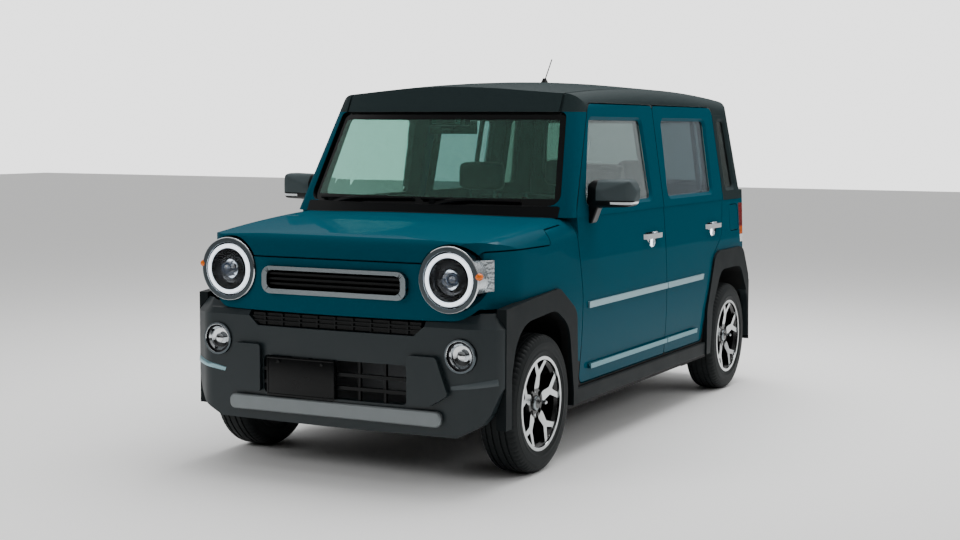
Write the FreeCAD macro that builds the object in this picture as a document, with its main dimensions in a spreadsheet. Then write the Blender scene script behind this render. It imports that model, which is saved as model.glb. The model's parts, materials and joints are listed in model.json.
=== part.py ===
import FreeCAD, Part
import math
import os
import Sketcher
from FreeCAD import Placement, Rotation, Vector

# A small five-door box-shaped car, in millimetres. Z is up, the car faces -Y and
# +X is its left side. The origin is on the ground, in the middle of the car.

document = FreeCAD.newDocument("SmallCar")
sheet = document.addObject("Spreadsheet::Sheet", "Sizes")


# Sizes and the expressions that carry them

class Size:
    """A length that knows its number and the expression it comes from."""

    def __init__(self, value, text):
        self.value = float(value)
        self.text = text

    def joined(self, other, sign, value):
        return Size(value, "(" + self.text + " " + sign + " " + other.text + ")")

    def __add__(self, other):
        other = size_of(other)
        return self.joined(other, "+", self.value + other.value)

    def __radd__(self, other):
        return size_of(other) + self

    def __sub__(self, other):
        other = size_of(other)
        return self.joined(other, "-", self.value - other.value)

    def __rsub__(self, other):
        return size_of(other) - self

    def __mul__(self, other):
        other = size_of(other)
        return self.joined(other, "*", self.value * other.value)

    def __rmul__(self, other):
        return size_of(other) * self

    def __truediv__(self, other):
        other = size_of(other)
        return self.joined(other, "/", self.value / other.value)

    def __neg__(self):
        return size_of(-1) * self


def size_of(number):
    if isinstance(number, Size):
        return number
    return Size(number, repr(float(number)))


def given(name, value):
    """Writes one driving dimension into the sheet and returns it."""
    given.row += 1
    cell = "B" + str(given.row)
    sheet.set("A" + str(given.row), name)
    sheet.set(cell, str(value))
    sheet.setAlias(cell, name)
    return Size(value, "Sizes." + name)


given.row = 0


# Driving dimensions: the whole car

overall_length = given("overall_length", 3395)
overall_width = given("overall_width", 1475)
overall_height = given("overall_height", 1680)
wheelbase = given("wheelbase", 2460)
front_overhang = given("front_overhang", 477.5)
track = given("track", 1297)
shut_gap = given("shut_gap", 6)
seat_gap = given("seat_gap", 0.3)

# Driving dimensions: the body's cross-section
floor_bottom = given("floor_bottom", 215)
floor_sheet = given("floor_sheet", 40)
sill_half = given("sill_half", 708)
flank_half = given("flank_half", 735)
flank_height = given("flank_height", 640)
flank_round = given("flank_round", 3200)
belt_half = given("belt_half", 700)
belt_height = given("belt_height", 1085)
side_lean = given("side_lean", 0.15)
cant_height = given("cant_height", 1612)
cant_round = given("cant_round", 90)
crown_height = given("crown_height", 1670)
crown_round = given("crown_round", 3300)
roof_drop = given("roof_drop", 50)
roof_front_station = given("roof_front_station", -760)
roof_middle_station = given("roof_middle_station", 420)
roof_rear_station = given("roof_rear_station", 1600)
wall = given("wall", 45)
door_wall = given("door_wall", 75)

# Driving dimensions: plan of nose, windscreen and tail
nose_centre = given("nose_centre", -1694)
nose_corner_x = given("nose_corner_x", 640)
nose_corner_y = given("nose_corner_y", -1640)
nose_round = given("nose_round", 170)
nose_shoulder_x = given("nose_shoulder_x", 706)
nose_shoulder_y = given("nose_shoulder_y", -1400)
screen_foot = given("screen_foot", -957)
screen_round = given("screen_round", 2090)
screen_rake = given("screen_rake", 0.535)
pillar_foot_round = given("pillar_foot_round", 40)
pillar_head_round = given("pillar_head_round", 125)
tail_corner = given("tail_corner", 1545)
tail_round = given("tail_round", 112)
tail_centre = given("tail_centre", 1640)
tail_crown = given("tail_crown", 2500)
tail_rake = given("tail_rake", 0.148)
bonnet_edge_y = given("bonnet_edge_y", -1652)
bonnet_edge_z = given("bonnet_edge_z", 988)
bonnet_edge_round = given("bonnet_edge_round", 90)
bonnet_middle_y = given("bonnet_middle_y", -1300)
bonnet_middle_z = given("bonnet_middle_z", 1044)
bonnet_side_round = given("bonnet_side_round", 110)
bonnet_side_front_z = given("bonnet_side_front_z", 952)
bonnet_side_middle_z = given("bonnet_side_middle_z", 1008)
bonnet_side_rear_z = given("bonnet_side_rear_z", 1040)
bonnet_crown = given("bonnet_crown", 28)
cowl_y = given("cowl_y", -905)
cowl_z = given("cowl_z", 1064)

# Driving dimensions: hollows under the skin
firewall_y = given("firewall_y", -870)
firewall_wall = given("firewall_wall", 30)
bay_front = given("bay_front", -1590)
bay_half = given("bay_half", 355)
bay_top_half = given("bay_top_half", 640)
apron_height = given("apron_height", 700)
bonnet_wall = given("bonnet_wall", 35)

# Driving dimensions: doors and other panels, in the side view
door_front_y = given("door_front_y", -818)
door_split_y = given("door_split_y", 253)
door_bottom_z = given("door_bottom_z", 313)
door_top_z = given("door_top_z", 1537)
rear_door_foot_y = given("rear_door_foot_y", 812)
rear_door_back_y = given("rear_door_back_y", 1177)
door_round = given("door_round", 40)
door_skin = given("door_skin", 20)
door_flange = given("door_flange", 11)
window_low_z = given("window_low_z", 1090)
window_high_z = given("window_high_z", 1461)
window_round = given("window_round", 28)
window_bevel = given("window_bevel", 22)
window_step = given("window_step", 12)
glass_inset = given("glass_inset", 14)
glass_wall = given("glass_wall", 5)
screen_low_z = given("screen_low_z", 1088)
screen_low_half = given("screen_low_half", 640)
screen_high_half = given("screen_high_half", 578)
tail_glass_low_z = given("tail_glass_low_z", 1105)
tail_glass_high_z = given("tail_glass_high_z", 1480)
tail_glass_half = given("tail_glass_half", 535)
tailgate_low_z = given("tailgate_low_z", 585)
tailgate_half = given("tailgate_half", 600)
tailgate_hinge_y = given("tailgate_hinge_y", 1440)
bonnet_seam_z = given("bonnet_seam_z", 942)
nose_seam_z = given("nose_seam_z", 893)
bumper_seam_z = given("bumper_seam_z", 660)
bonnet_step_y = given("bonnet_step_y", -1112)
bonnet_rear_side_y = given("bonnet_rear_side_y", -893)
bonnet_rear_centre_y = given("bonnet_rear_centre_y", -1015)
strip_proud = given("strip_proud", 8)
lamp_x = given("lamp_x", 523.5)
lamp_z = given("lamp_z", 830)
lamp_radius = given("lamp_radius", 134)
lamp_front_y = given("lamp_front_y", -1672)
lamp_depth = given("lamp_depth", 150)
fog_x = given("fog_x", 578)
fog_z = given("fog_z", 533)
fog_radius = given("fog_radius", 70)

bumper_wall = given("bumper_wall", 45)
fuel_floor_x = given("fuel_floor_x", 672)
front_well_inner = given("front_well_inner", 385)
rear_well_inner = given("rear_well_inner", 470)
house_wall = given("house_wall", 22)
roof_split_z = given("roof_split_z", 1497)
plate_hole_radius = given("plate_hole_radius", 3.3)
plate_hole_half = given("plate_hole_half", 105)
plate_x = given("plate_x", -150)
plate_hole_z = given("plate_hole_z", 460)
rear_plate_z = given("rear_plate_z", 820)
plate_pad_y = given("plate_pad_y", 1630)
arch_skin_x = given("arch_skin_x", 692)
cowl_half = given("cowl_half", 640)
pillar_y = given("pillar_y", 253)
pillar_half = given("pillar_half", 42)
pillar_wall = given("pillar_wall", 43)
floor_step_y = given("floor_step_y", 560)
rear_floor_top = given("rear_floor_top", 440)
grille_face_y = given("grille_face_y", -1690)
fog_front_y = given("fog_front_y", -1678)
moulding_inner_x = given("moulding_inner_x", 694)
aerial_y = given("aerial_y", 374)
aerial_z = given("aerial_z", 1656)
aerial_length = given("aerial_length", 145)
aerial_lean = given("aerial_lean", 38)
ditch_x = given("ditch_x", 550)
ditch_half = given("ditch_half", 6)
ditch_depth = given("ditch_depth", 8)
floor_half = given("floor_half", 575)
rear_floor_half = given("rear_floor_half", 440)
jack_x = given("jack_x", 670)
jack_front_y = given("jack_front_y", -600)
jack_rear_y = given("jack_rear_y", 620)
jack_drop = given("jack_drop", 10)
ridge_z = given("ridge_z", 640)
ridge_inset = given("ridge_inset", 55)
claw_proud = given("claw_proud", 9)
indicator_proud = given("indicator_proud", 12)
wheel_x = given("wheel_x", 330)
seat_base_z = given("seat_base_z", 440)
rear_seat_half = given("rear_seat_half", 440)
helm_y = given("helm_y", -430)
helm_z = given("helm_z", 930)
column_tilt = given("column_tilt", 25)
ball_x = given("ball_x", 600)
ball_z = given("ball_z", 209)
kingpin_lean = given("kingpin_lean", 0.143)
kingpin_slope = given("kingpin_slope", 0.089)
strut_top_z = given("strut_top_z", 659.6)
engine_half = given("engine_half", 300)
engine_bottom = given("engine_bottom", 240)
exhaust_x = given("exhaust_x", 300)

# Driving dimensions: running gear
tyre_radius = given("tyre_radius", 289.5)
tyre_width = given("tyre_width", 165)
tyre_shoulder = given("tyre_shoulder", 28)
rim_radius = given("rim_radius", 205)
rim_width = given("rim_width", 146)
rim_wall = given("rim_wall", 9)
spoke_count = 5
bolt_count = 4
hub_radius = given("hub_radius", 62)
hub_bore = given("hub_bore", 30)
cap_radius = given("cap_radius", 30)
disc_radius = given("disc_radius", 125)
bolt_circle = given("bolt_circle", 100)

document.recompute()

axle_front = overall_length / -2 + front_overhang
axle_rear = axle_front + wheelbase
half_width = overall_width / 2
half_length = overall_length / 2
half_track = track / 2

TURNED = {
    "side": Rotation(Vector(1, 1, 1), 120),
    "front": Rotation(Vector(1, 0, 0), 90),
    "top": Rotation(),
}
AXES = {"side": "x", "front": "y", "top": "z"}
UNIT = {"x": Vector(1, 0, 0), "y": Vector(0, 1, 0), "z": Vector(0, 0, 1)}

nodes = {}


def bind(thing, field, size):
    """Binds one field of an object to a size's expression."""
    thing.setExpression(field, size_of(size).text)


def place(thing, x=0, y=0, z=0):
    bind(thing, "Placement.Base.x", x)
    bind(thing, "Placement.Base.y", y)
    bind(thing, "Placement.Base.z", z)


def rounded_corner(before, corner, after, radius):
    """The two tangent points and the middle of an arc that rounds one corner."""
    back = (before - corner).normalize()
    ahead = (after - corner).normalize()
    turn = math.acos(max(-1.0, min(1.0, back.dot(ahead))))
    reach = radius / math.tan(turn / 2)
    start = corner + back * reach
    finish = corner + ahead * reach
    inward = (back + ahead).normalize()
    centre = corner + inward * (radius / math.sin(turn / 2))
    return start, centre - inward * radius, finish


def outline(name, plane, corners, level=0):
    """A closed sketch through the corners, each (across, up) or (across, up, radius)."""
    sketch = document.addObject("Sketcher::SketchObject", name)
    count = len(corners)
    sizes = [[size_of(part) for part in corner] for corner in corners]
    points = [Vector(corner[0].value, corner[1].value, 0) for corner in sizes]
    starts = list(points)
    ends = [points[(index + 1) % count] for index in range(count)]
    bends = {}
    for index, corner in enumerate(sizes):
        if len(corner) < 3:
            continue
        bend = rounded_corner(points[index - 1], points[index], points[(index + 1) % count],
                              corner[2].value)
        ends[index - 1] = bend[0]
        starts[index] = bend[2]
        bends[index] = bend
    for index in range(count):
        run = points[(index + 1) % count] - points[index]
        if (ends[index] - starts[index]).dot(run) <= 0:
            raise ValueError(name + ": the radii at edge " + str(index) + " don't fit it")
    lines = sketch.addGeometry([Part.LineSegment(starts[i], ends[i]) for i in range(count)], False)
    rules = []
    bound = []
    for index, corner in enumerate(sizes):
        line_before = lines[index - 1]
        line_after = lines[index]
        fixed, fixed_end = line_after, 1
        if index in bends:
            bend = bends[index]
            run = points[index] - points[index - 1]
            forward = run.cross(points[(index + 1) % count] - points[index]).z > 0
            arc = sketch.addGeometry(Part.Arc(*(bend if forward else bend[::-1])), False)
            fixed = sketch.addGeometry(Part.Point(points[index]), True)
            rules.append(Sketcher.Constraint("Tangent", line_before, 2, arc, 1 if forward else 2))
            rules.append(Sketcher.Constraint("Tangent", line_after, 1, arc, 2 if forward else 1))
            rules.append(Sketcher.Constraint("PointOnObject", fixed, 1, line_before))
            rules.append(Sketcher.Constraint("PointOnObject", fixed, 1, line_after))
            bound.append((len(rules), corner[2]))
            rules.append(Sketcher.Constraint("Radius", arc, corner[2].value))
        else:
            rules.append(Sketcher.Constraint("Coincident", line_before, 2, line_after, 1))
        bound.append((len(rules), corner[0]))
        rules.append(Sketcher.Constraint("DistanceX", -1, 1, fixed, fixed_end, points[index].x))
        bound.append((len(rules), corner[1]))
        rules.append(Sketcher.Constraint("DistanceY", -1, 1, fixed, fixed_end, points[index].y))
    sketch.addConstraint(rules)
    for index, size in bound:
        if "Sizes." in size.text:
            sketch.setExpression("Constraints[" + str(index) + "]", size.text)
    sketch.Placement = Placement(Vector(), TURNED[plane])
    bind(sketch, "Placement.Base." + AXES[plane], level)
    return sketch


def prism(name, plane, corners, start, finish):
    """The outline, drawn out along its plane's axis from start to finish."""
    return drawn(name, outline(name + "_outline", plane, corners, start), plane, start, finish)


def drawn(name, sketch, plane, start, finish):
    solid = document.addObject("Part::Extrusion", name)
    solid.Base = sketch
    solid.DirMode = "Custom"
    solid.Dir = UNIT[AXES[plane]]
    solid.Solid = True
    bind(solid, "LengthFwd", size_of(finish) - start)
    return solid


def box(name, low, high):
    solid = document.addObject("Part::Box", name)
    bind(solid, "Length", size_of(high[0]) - low[0])
    bind(solid, "Width", size_of(high[1]) - low[1])
    bind(solid, "Height", size_of(high[2]) - low[2])
    place(solid, *low)
    return solid


def rod(name, axis, radius, start, length):
    """A cylinder along +X, +Y or +Z from its start point."""
    solid = document.addObject("Part::Cylinder", name)
    bind(solid, "Radius", radius)
    bind(solid, "Height", length)
    turn = {"x": Rotation(Vector(0, 1, 0), 90), "y": Rotation(Vector(1, 0, 0), -90),
            "z": Rotation()}
    solid.Placement = Placement(Vector(), turn[axis])
    place(solid, *start)
    return solid


def turned(name, plane, corners, axis, through):
    """A profile turned about a line along the axis through a point."""
    sketch = outline(name + "_outline", plane, corners)
    solid = document.addObject("Part::Revolution", name)
    solid.Source = sketch
    solid.Axis = UNIT[axis]
    solid.Solid = True
    solid.Angle = 360
    bind(solid, "Base.x", through[0])
    bind(solid, "Base.y", through[1])
    bind(solid, "Base.z", through[2])
    return solid


def fused(name, *pieces):
    solid = document.addObject("Part::MultiFuse", name)
    solid.Shapes = list(pieces)
    return solid


def common(name, *pieces):
    solid = document.addObject("Part::MultiCommon", name)
    solid.Shapes = list(pieces)
    return solid


def less(name, base, *tools):
    """The base with every tool cut away."""
    solid = document.addObject("Part::Cut", name)
    solid.Base = base
    solid.Tool = tools[0] if len(tools) == 1 else fused(name + "_tools", *tools)
    return solid


def mirrored(name, source):
    solid = document.addObject("Part::Mirroring", name)
    solid.Source = source
    solid.Normal = Vector(1, 0, 0)
    return solid


def both_sides(name, source):
    """The piece and its mirror image across the car, as one object."""
    other = mirrored(name + "_right", source)
    solid = document.addObject("Part::Compound", name)
    solid.Links = [source, other]
    return solid


def grouped(name, *pieces):
    solid = document.addObject("Part::Compound", name)
    solid.Links = list(pieces)
    return solid


def shifted(name, source, x=0, y=0, z=0):
    """A copy of a finished piece in another place."""
    solid = document.addObject("Part::Compound", name)
    solid.Links = [source]
    place(solid, x, y, z)
    return solid


def grown(name, source, amount):
    """An outline moved outwards, or inwards where the amount is negative."""
    ring = document.addObject("Part::Offset2D", name)
    ring.Source = source
    bind(ring, "Value", amount)
    ring.Join = 0
    return ring


def node(name, thing):
    thing.Label = name
    nodes[name] = thing
    return thing


# Body forms: the outside of the body, and the same form further in

def roof_section(name, inset, station, drop):
    """The upper body's cross-section, its roof lowered by drop at this station."""
    top = cant_height - drop
    side = belt_half - side_lean * (top - belt_height)
    foot = belt_height - wall
    return outline(name, "front", [
        (-(belt_half - inset) - side_lean * wall, foot),
        (belt_half - inset + side_lean * wall, foot),
        (side - inset, top - inset * 0.9, cant_round - inset),
        (0, crown_height - drop - inset, crown_round - inset),
        (-(side - inset), top - inset * 0.9, cant_round - inset),
    ], station)


def inner_round(radius, inset):
    """A corner's radius on an inset form, which stays over 6 mm."""
    smaller = size_of(radius) - inset
    return smaller if smaller.value > 6 else size_of(6)


def upper_plan(name, inset, level, widen, pillar_round):
    """The upper body's plan at one level: curved windscreen, rounded tail."""
    corner = inner_round(pillar_round, inset)
    up = level - belt_height
    side = belt_half - side_lean * up - inset + widen
    front = screen_foot + screen_rake * up + inset * 1.13
    bulge = side * side / (2 * screen_round)
    rear = tail_corner - tail_rake * up - inset
    return outline(name, "top", [
        (-side, front + bulge, corner),
        (0, front - bulge * 0.9, screen_round * 0.84),
        (side, front + bulge, corner),
        (side, rear, tail_round - inset),
        (0, rear + tail_centre - tail_corner, tail_crown),
        (-side, rear, tail_round - inset),
    ], level)


def upper_form(name, inset):
    """The whole upper body as one solid, inset from the outside by the given amount."""
    stations = [
        roof_section(name + "_front", inset, roof_front_station - 300, roof_drop * 1.6),
        roof_section(name + "_middle", inset, roof_middle_station, 0),
        roof_section(name + "_rear", inset, roof_rear_station + 300, roof_drop * 1.6),
    ]
    arch = document.addObject("Part::Loft", name + "_arch")
    arch.Sections = stations
    arch.Solid = True
    low = upper_plan(name + "_low", inset, belt_height - wall, 0.5, pillar_foot_round)
    high = upper_plan(name + "_high", inset, crown_height + wall, 0.5, pillar_head_round)
    rake = document.addObject("Part::Loft", name + "_rake")
    rake.Sections = [low, high]
    rake.Solid = True
    rake.Ruled = True
    return common(name, arch, rake)


def lower_section(name, inset):
    return outline(name, "front", [
        (-(sill_half - inset), floor_bottom),
        (sill_half - inset, floor_bottom),
        (flank_half - inset, flank_height, flank_round),
        (belt_half - inset, belt_height),
        (-(belt_half - inset), belt_height),
        (-(flank_half - inset), flank_height, flank_round),
    ], -half_length - 50)


def lower_plan(name, inset):
    return outline(name, "top", [
        (-(nose_corner_x - inset), nose_corner_y + inset, nose_round - inset),
        (0, nose_centre + inset, crown_round),
        (nose_corner_x - inset, nose_corner_y + inset, nose_round - inset),
        (nose_shoulder_x - inset, nose_shoulder_y, 400),
        (flank_half + 5, axle_front + 300),
        (flank_half + 5, tail_corner - tail_round * 2),
        (belt_half + 20 - inset, tail_corner - inset, tail_round - inset),
        (0, tail_centre - inset, tail_crown),
        (-(belt_half + 20 - inset), tail_corner - inset, tail_round - inset),
        (-(flank_half + 5), tail_corner - tail_round * 2),
        (-(flank_half + 5), axle_front + 300),
        (-(nose_shoulder_x - inset), nose_shoulder_y, 400),
    ], 0)


def lower_profile(name, inset):
    return outline(name, "side", [
        (nose_centre - 15 + inset, floor_bottom),
        (nose_centre - 15 + inset, 600),
        (bonnet_edge_y + inset, bonnet_edge_z - inset, bonnet_edge_round - inset),
        (bonnet_middle_y, bonnet_middle_z - inset, 3000),
        (cowl_y, cowl_z + 4 - inset),
        (cowl_y + 90, belt_height),
        (half_length, belt_height),
        (half_length, floor_bottom),
    ], -half_width - 20)


def bonnet_section(name, inset, station, side_z):
    """The front body's cross-section at one station, rounded over at its sides."""
    flank = flank_half - inset + 0.3
    lean = (flank_half - belt_half) / (belt_height - flank_height)
    edge = flank - (side_z - inset - flank_height) * lean
    return outline(name, "front", [
        (-flank_half - 30, 100),
        (flank_half + 30, 100),
        (flank_half + 30, 560),
        (flank, flank_height),
        (edge, side_z - inset, bonnet_side_round - inset),
        (0, side_z + bonnet_crown - inset, 9000),
        (-edge, side_z - inset, bonnet_side_round - inset),
        (-flank, flank_height),
        (-flank_half - 30, 560),
    ], station)


def crowned_front(name, inset):
    """What bounds the front body from above, and leaves the rest of the body free."""
    front = document.addObject("Part::Loft", name + "_bonnet")
    front.Sections = [
        bonnet_section(name + "_bonnet_front", inset, nose_centre - 66, bonnet_side_front_z),
        bonnet_section(name + "_bonnet_middle", inset, bonnet_middle_y, bonnet_side_middle_z),
        bonnet_section(name + "_bonnet_rear", inset, door_front_y + 8, bonnet_side_rear_z),
    ]
    front.Solid = True
    return fused(name, front, box(name + "_behind", (-half_width - 40, door_front_y, 100),
                                  (half_width + 40, half_length + 50, belt_height + 50)))


def lower_form(name, inset):
    """The body below the belt line as one solid, inset by the given amount."""
    section = drawn(name + "_flanks", lower_section(name + "_section", inset), "front",
                    -half_length - 50, half_length + 50)
    plan = drawn(name + "_corners", lower_plan(name + "_plan", inset), "top", 0, belt_height + 50)
    profile = drawn(name + "_top", lower_profile(name + "_profile", inset), "side",
                    -half_width - 20, half_width + 20)
    return common(name, section, plan, profile, crowned_front(name + "_crowned", inset))


upper_outside = upper_form("upper_outside", size_of(0))
lower_outside = lower_form("lower_outside", size_of(0))

# The hollow inside: cabin above and below the belt, and the engine bay

FRONT_WELL = [
    (axle_front - 350, 150),
    (axle_front - 338, 450, 150),
    (axle_front - 252, 642, 110),
    (axle_front + 112, 668, 90),
    (axle_front + 262, 598, 100),
    (axle_front + 330, 400, 60),
    (axle_front + 330, 150),
]
FRONT_ARCH = [
    (axle_front - 312, 150),
    (axle_front - 312, 450, 120),
    (axle_front - 252, 642, 180),
    (axle_front + 112, 668, 150),
    (axle_front + 252, 588, 130),
    (axle_front + 304, 300, 60),
    (axle_front + 304, 150),
]
REAR_WELL = [
    (axle_rear - 345, 150),
    (axle_rear - 300, 480, 120),
    (axle_rear - 170, 668, 110),
    (axle_rear + 170, 668, 110),
    (axle_rear + 310, 480, 120),
    (axle_rear + 345, 150),
]
floor_top = floor_bottom + floor_sheet
rear_house = drawn("rear_house", grown("rear_house_edge", outline("rear_house_outline", "side",
                   REAR_WELL, rear_well_inner - house_wall), house_wall), "side",
                   rear_well_inner - house_wall, half_width + 30)
cabin_upper = upper_form("cabin_upper", wall)
cabin_inside = lower_form("cabin_inside", door_wall)
cabin_lower = less("cabin_lower", common("cabin_length", cabin_inside,
                   fused("cabin_floors",
                         box("cabin_front", (-half_width, firewall_y, floor_top),
                             (half_width, floor_step_y, belt_height + 10)),
                         box("cabin_rear", (-half_width, floor_step_y - 10, rear_floor_top),
                             (half_width, tail_corner, belt_height + 10)))),
                   both_sides("rear_houses", rear_house))
rear_pocket = box("rear_pocket", (-rear_well_inner - 5, floor_step_y + 40, 100),
                  (rear_well_inner + 5, 1570, rear_floor_top - floor_sheet))
shaft_slot = box("shaft_slot", (-front_well_inner - 5, axle_front - 60, 100),
                 (front_well_inner + 5, axle_front + 60, tyre_radius + 60))
bay_floor = box("bay_floor", (-bay_half, bay_front, floor_bottom - 50),
                (bay_half, firewall_y - firewall_wall, apron_height))
bay_top = common("bay_top", lower_form("bay_inside", bonnet_wall),
                 box("bay_length", (-bay_top_half, bay_front, apron_height - 10),
                     (bay_top_half, firewall_y - firewall_wall, belt_height)))
shell = less("shell", fused("outside", upper_outside, lower_outside),
             cabin_upper, cabin_lower, bay_floor, bay_top, rear_pocket, shaft_slot)

front_well = fused("front_well",
                   prism("front_liner", "side", FRONT_WELL, front_well_inner, arch_skin_x),
                   prism("front_arch", "side", FRONT_ARCH, arch_skin_x - 5, half_width + 30))
rear_well = prism("rear_well", "side", REAR_WELL, rear_well_inner, half_width + 30)
wells = grouped("wells", front_well, mirrored("front_well_right", front_well),
                rear_well, mirrored("rear_well_right", rear_well))

# Doors: their outlines in the side view, and the holes that they close

FRONT_DOOR = [
    (door_front_y, door_bottom_z, door_round),
    (door_split_y, door_bottom_z, 20),
    (door_split_y, door_top_z, 25),
    (-545, door_top_z, 60),
    (-838, 1045, 200),
    (-797, 706, 400),
]
REAR_DOOR = [
    (door_split_y, door_bottom_z, 20),
    (rear_door_foot_y, door_bottom_z, door_round),
    (849, 480, 100),
    (965, 748, 130),
    (1120, 850, 100),
    (rear_door_back_y, 1100, 150),
    (1160, door_top_z, 60),
    (door_split_y, door_top_z, 25),
]
SLOPE = 1 + side_lean * side_lean / 2
FRONT_WINDOW = [
    (-705, 0, window_round),
    (100, 0, window_round),
    (80, (window_high_z - window_low_z) * SLOPE, window_round),
    (-547, (window_high_z - window_low_z) * SLOPE, window_round),
]
REAR_WINDOW = [
    (340, 0, window_round),
    (1005, 0, window_round),
    (1013, (window_high_z - window_low_z) * SLOPE, window_round),
    (368, (window_high_z - window_low_z) * SLOPE, window_round),
]
QUARTER_WINDOW = [
    (1241, 12, 20),
    (1393, 15, 20),
    (1353, (window_high_z - window_low_z) * SLOPE, 20),
    (1231, (window_high_z - window_low_z) * SLOPE, 20),
]


def leaning(sketch, out):
    """Lays a side-view sketch on the leaning side, with its foot at the window line."""
    lean = Rotation(Vector(0, 1, 0), -math.degrees(math.atan(side_lean.value)))
    sketch.Placement = Placement(Vector(), lean * TURNED["side"])
    place(sketch, belt_half - side_lean * (window_low_z - belt_height) + out, 0, window_low_z)
    return sketch


def window_cutter(name, corners):
    """The window's hole through the side, with a bevel opening out at the skin."""
    inner = leaning(outline(name + "_inner", "side", corners), -window_step)
    outer = grown(name + "_outer", leaning(outline(name + "_skin", "side", corners), 4),
                  window_bevel)
    bevel = document.addObject("Part::Loft", name + "_bevel")
    bevel.Sections = [inner, outer]
    bevel.Solid = True
    bevel.Ruled = True
    hole = drawn(name + "_hole", inner, "side", 0, 1)
    bind(hole, "LengthFwd", 0)
    bind(hole, "LengthRev", wall * 3)
    return fused(name, bevel, hole)


def glass_sheet(name, corners):
    """The pane that fills a side window, seated in its hole."""
    sketch = leaning(outline(name + "_outline", "side", corners), -glass_inset - glass_wall)
    return drawn(name, grown(name + "_edge", sketch, -seat_gap), "side", 0, glass_wall)


front_window = window_cutter("front_window", FRONT_WINDOW)
rear_window = window_cutter("rear_window", REAR_WINDOW)
quarter_window = window_cutter("quarter_window", QUARTER_WINDOW)


side_block = prism("side_block", "front", [
    (645, 200),
    (half_width + 30, 200),
    (half_width + 30, 1600),
    (555, 1600),
    (632, 1090),
    (645, 1040),
], -1000, 1300)
skin_inside = fused("skin_inside", upper_form("skin_upper", door_skin),
                    lower_form("skin_lower", door_skin))
side_shell = common("side_shell", shell, side_block)
side_skin = less("side_skin", side_shell, skin_inside)
side_frame = less("side_frame", common("side_depth", side_shell, skin_inside), cabin_inside)
house_core = common("house_core", rear_house, box("house_width", (400, 800, 200),
                    (flank_half - door_wall - shut_gap - 4, half_length, 800)))


def pull_handle(name, pull_y):
    """A bar that arches over the finger cup, its ends sunk in the door's skin."""
    return prism(name, "top", [
        (700, pull_y - 112),
        (733, pull_y - 103, 12),
        (733, pull_y + 103, 12),
        (700, pull_y + 112),
        (700, pull_y + 90),
        (721, pull_y + 84, 8),
        (721, pull_y - 84, 8),
        (700, pull_y - 90),
    ], 897, 921)


def door_shape(name, corners, front_y, window, pull_y, strips, *extras):
    """One left door: an outer skin whose edge stands proud of the frame inside it."""
    shape = outline(name + "_outline", "side", corners, 400)
    skin = drawn(name + "_skin", grown(name + "_edge", shape, -shut_gap / 2), "side", 400,
                 half_width + 20)
    frame = drawn(name + "_frame", grown(name + "_flange", shape, -door_flange), "side", 400,
                  half_width + 20)
    panel = fused(name + "_panel", common(name + "_outer", side_skin, skin),
                  common(name + "_inner", side_frame, frame))
    trims = []
    for index, strip in enumerate(strips):
        bar = prism(name + "_strip_" + str(index), "side", strip, flank_half - 60,
                    flank_half + strip_proud - 8)
        trims.append(bar)
    recess = prism(name + "_cup", "side", [
        (pull_y - 24, 856, 14),
        (pull_y + 24, 856, 14),
        (pull_y + 82, 908, 12),
        (pull_y + 82, 928, 8),
        (pull_y - 82, 928, 8),
        (pull_y - 82, 908, 12),
    ], flank_half - 38, half_width)
    grip = pull_handle(name + "_grip", pull_y)
    for height in (450, 850):
        hinge = box(name + "_hinge_" + str(height), (656, front_y - shut_gap / 2 + seat_gap, height),
                    (690, front_y + 40, height + 60))
        trims.append(hinge)
    return fused(name + "_body", less(name + "_holed", panel, window, recess), grip, *trims,
                 *extras)


window_rise = (window_high_z - window_low_z) * SLOPE
divider_wall = 20
rear_divider = drawn("rear_divider", leaning(outline("rear_divider_outline", "side", [
    (864, -10),
    (888, -10),
    (903, window_rise + 10),
    (879, window_rise + 10),
]), -glass_inset - glass_wall - divider_wall), "side", 0, divider_wall - seat_gap)
front_door = door_shape("front_door", FRONT_DOOR, door_front_y + 11, front_window, 68, [
    [(-742, 640), (door_split_y - 4, 640), (door_split_y - 4, 668), (-742, 668)],
    [(-722, 370), (door_split_y - 4, 370), (door_split_y - 4, 392), (-722, 392)],
])
rear_door = door_shape("rear_door", REAR_DOOR, door_split_y, rear_window, 975, [
    [(door_split_y + 4, 640), (782, 640), (795, 668), (door_split_y + 4, 668)],
    [(door_split_y + 4, 370), (694, 370), (700, 392), (door_split_y + 4, 392)],
], rear_divider)

# The holes that the doors close, cut through the whole side

door_holes = []
for name, corners in (("front_door_hole", FRONT_DOOR), ("rear_door_hole", REAR_DOOR)):
    shape = outline(name + "_outline", "side", corners, 500)
    hole = less(name, drawn(name + "_prism", grown(name + "_edge", shape, shut_gap / 2), "side",
                            500, half_width + 30), house_core)
    door_holes.extend([hole, mirrored(name + "_right", hole)])

# Bonnet: a clamshell whose side seam steps up over the wings

BONNET_SIDE = [
    (-half_length - 60, nose_seam_z),
    (-1640, nose_seam_z, 20),
    (-1590, bonnet_seam_z, 30),
    (bonnet_step_y, bonnet_seam_z, 15),
    (bonnet_step_y, 1003, 15),
    (bonnet_rear_side_y + 40, 1022),
    (bonnet_rear_side_y + 40, belt_height + 40),
    (-half_length - 60, belt_height + 40),
]
BONNET_PLAN = [
    (-half_width - 60, -half_length - 60),
    (half_width + 60, -half_length - 60),
    (half_width + 60, bonnet_rear_side_y),
    (650, bonnet_rear_side_y),
    (0, bonnet_rear_centre_y * 2 - bonnet_rear_side_y, 1680),
    (-650, bonnet_rear_side_y),
    (-half_width - 60, bonnet_rear_side_y),
]


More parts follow.
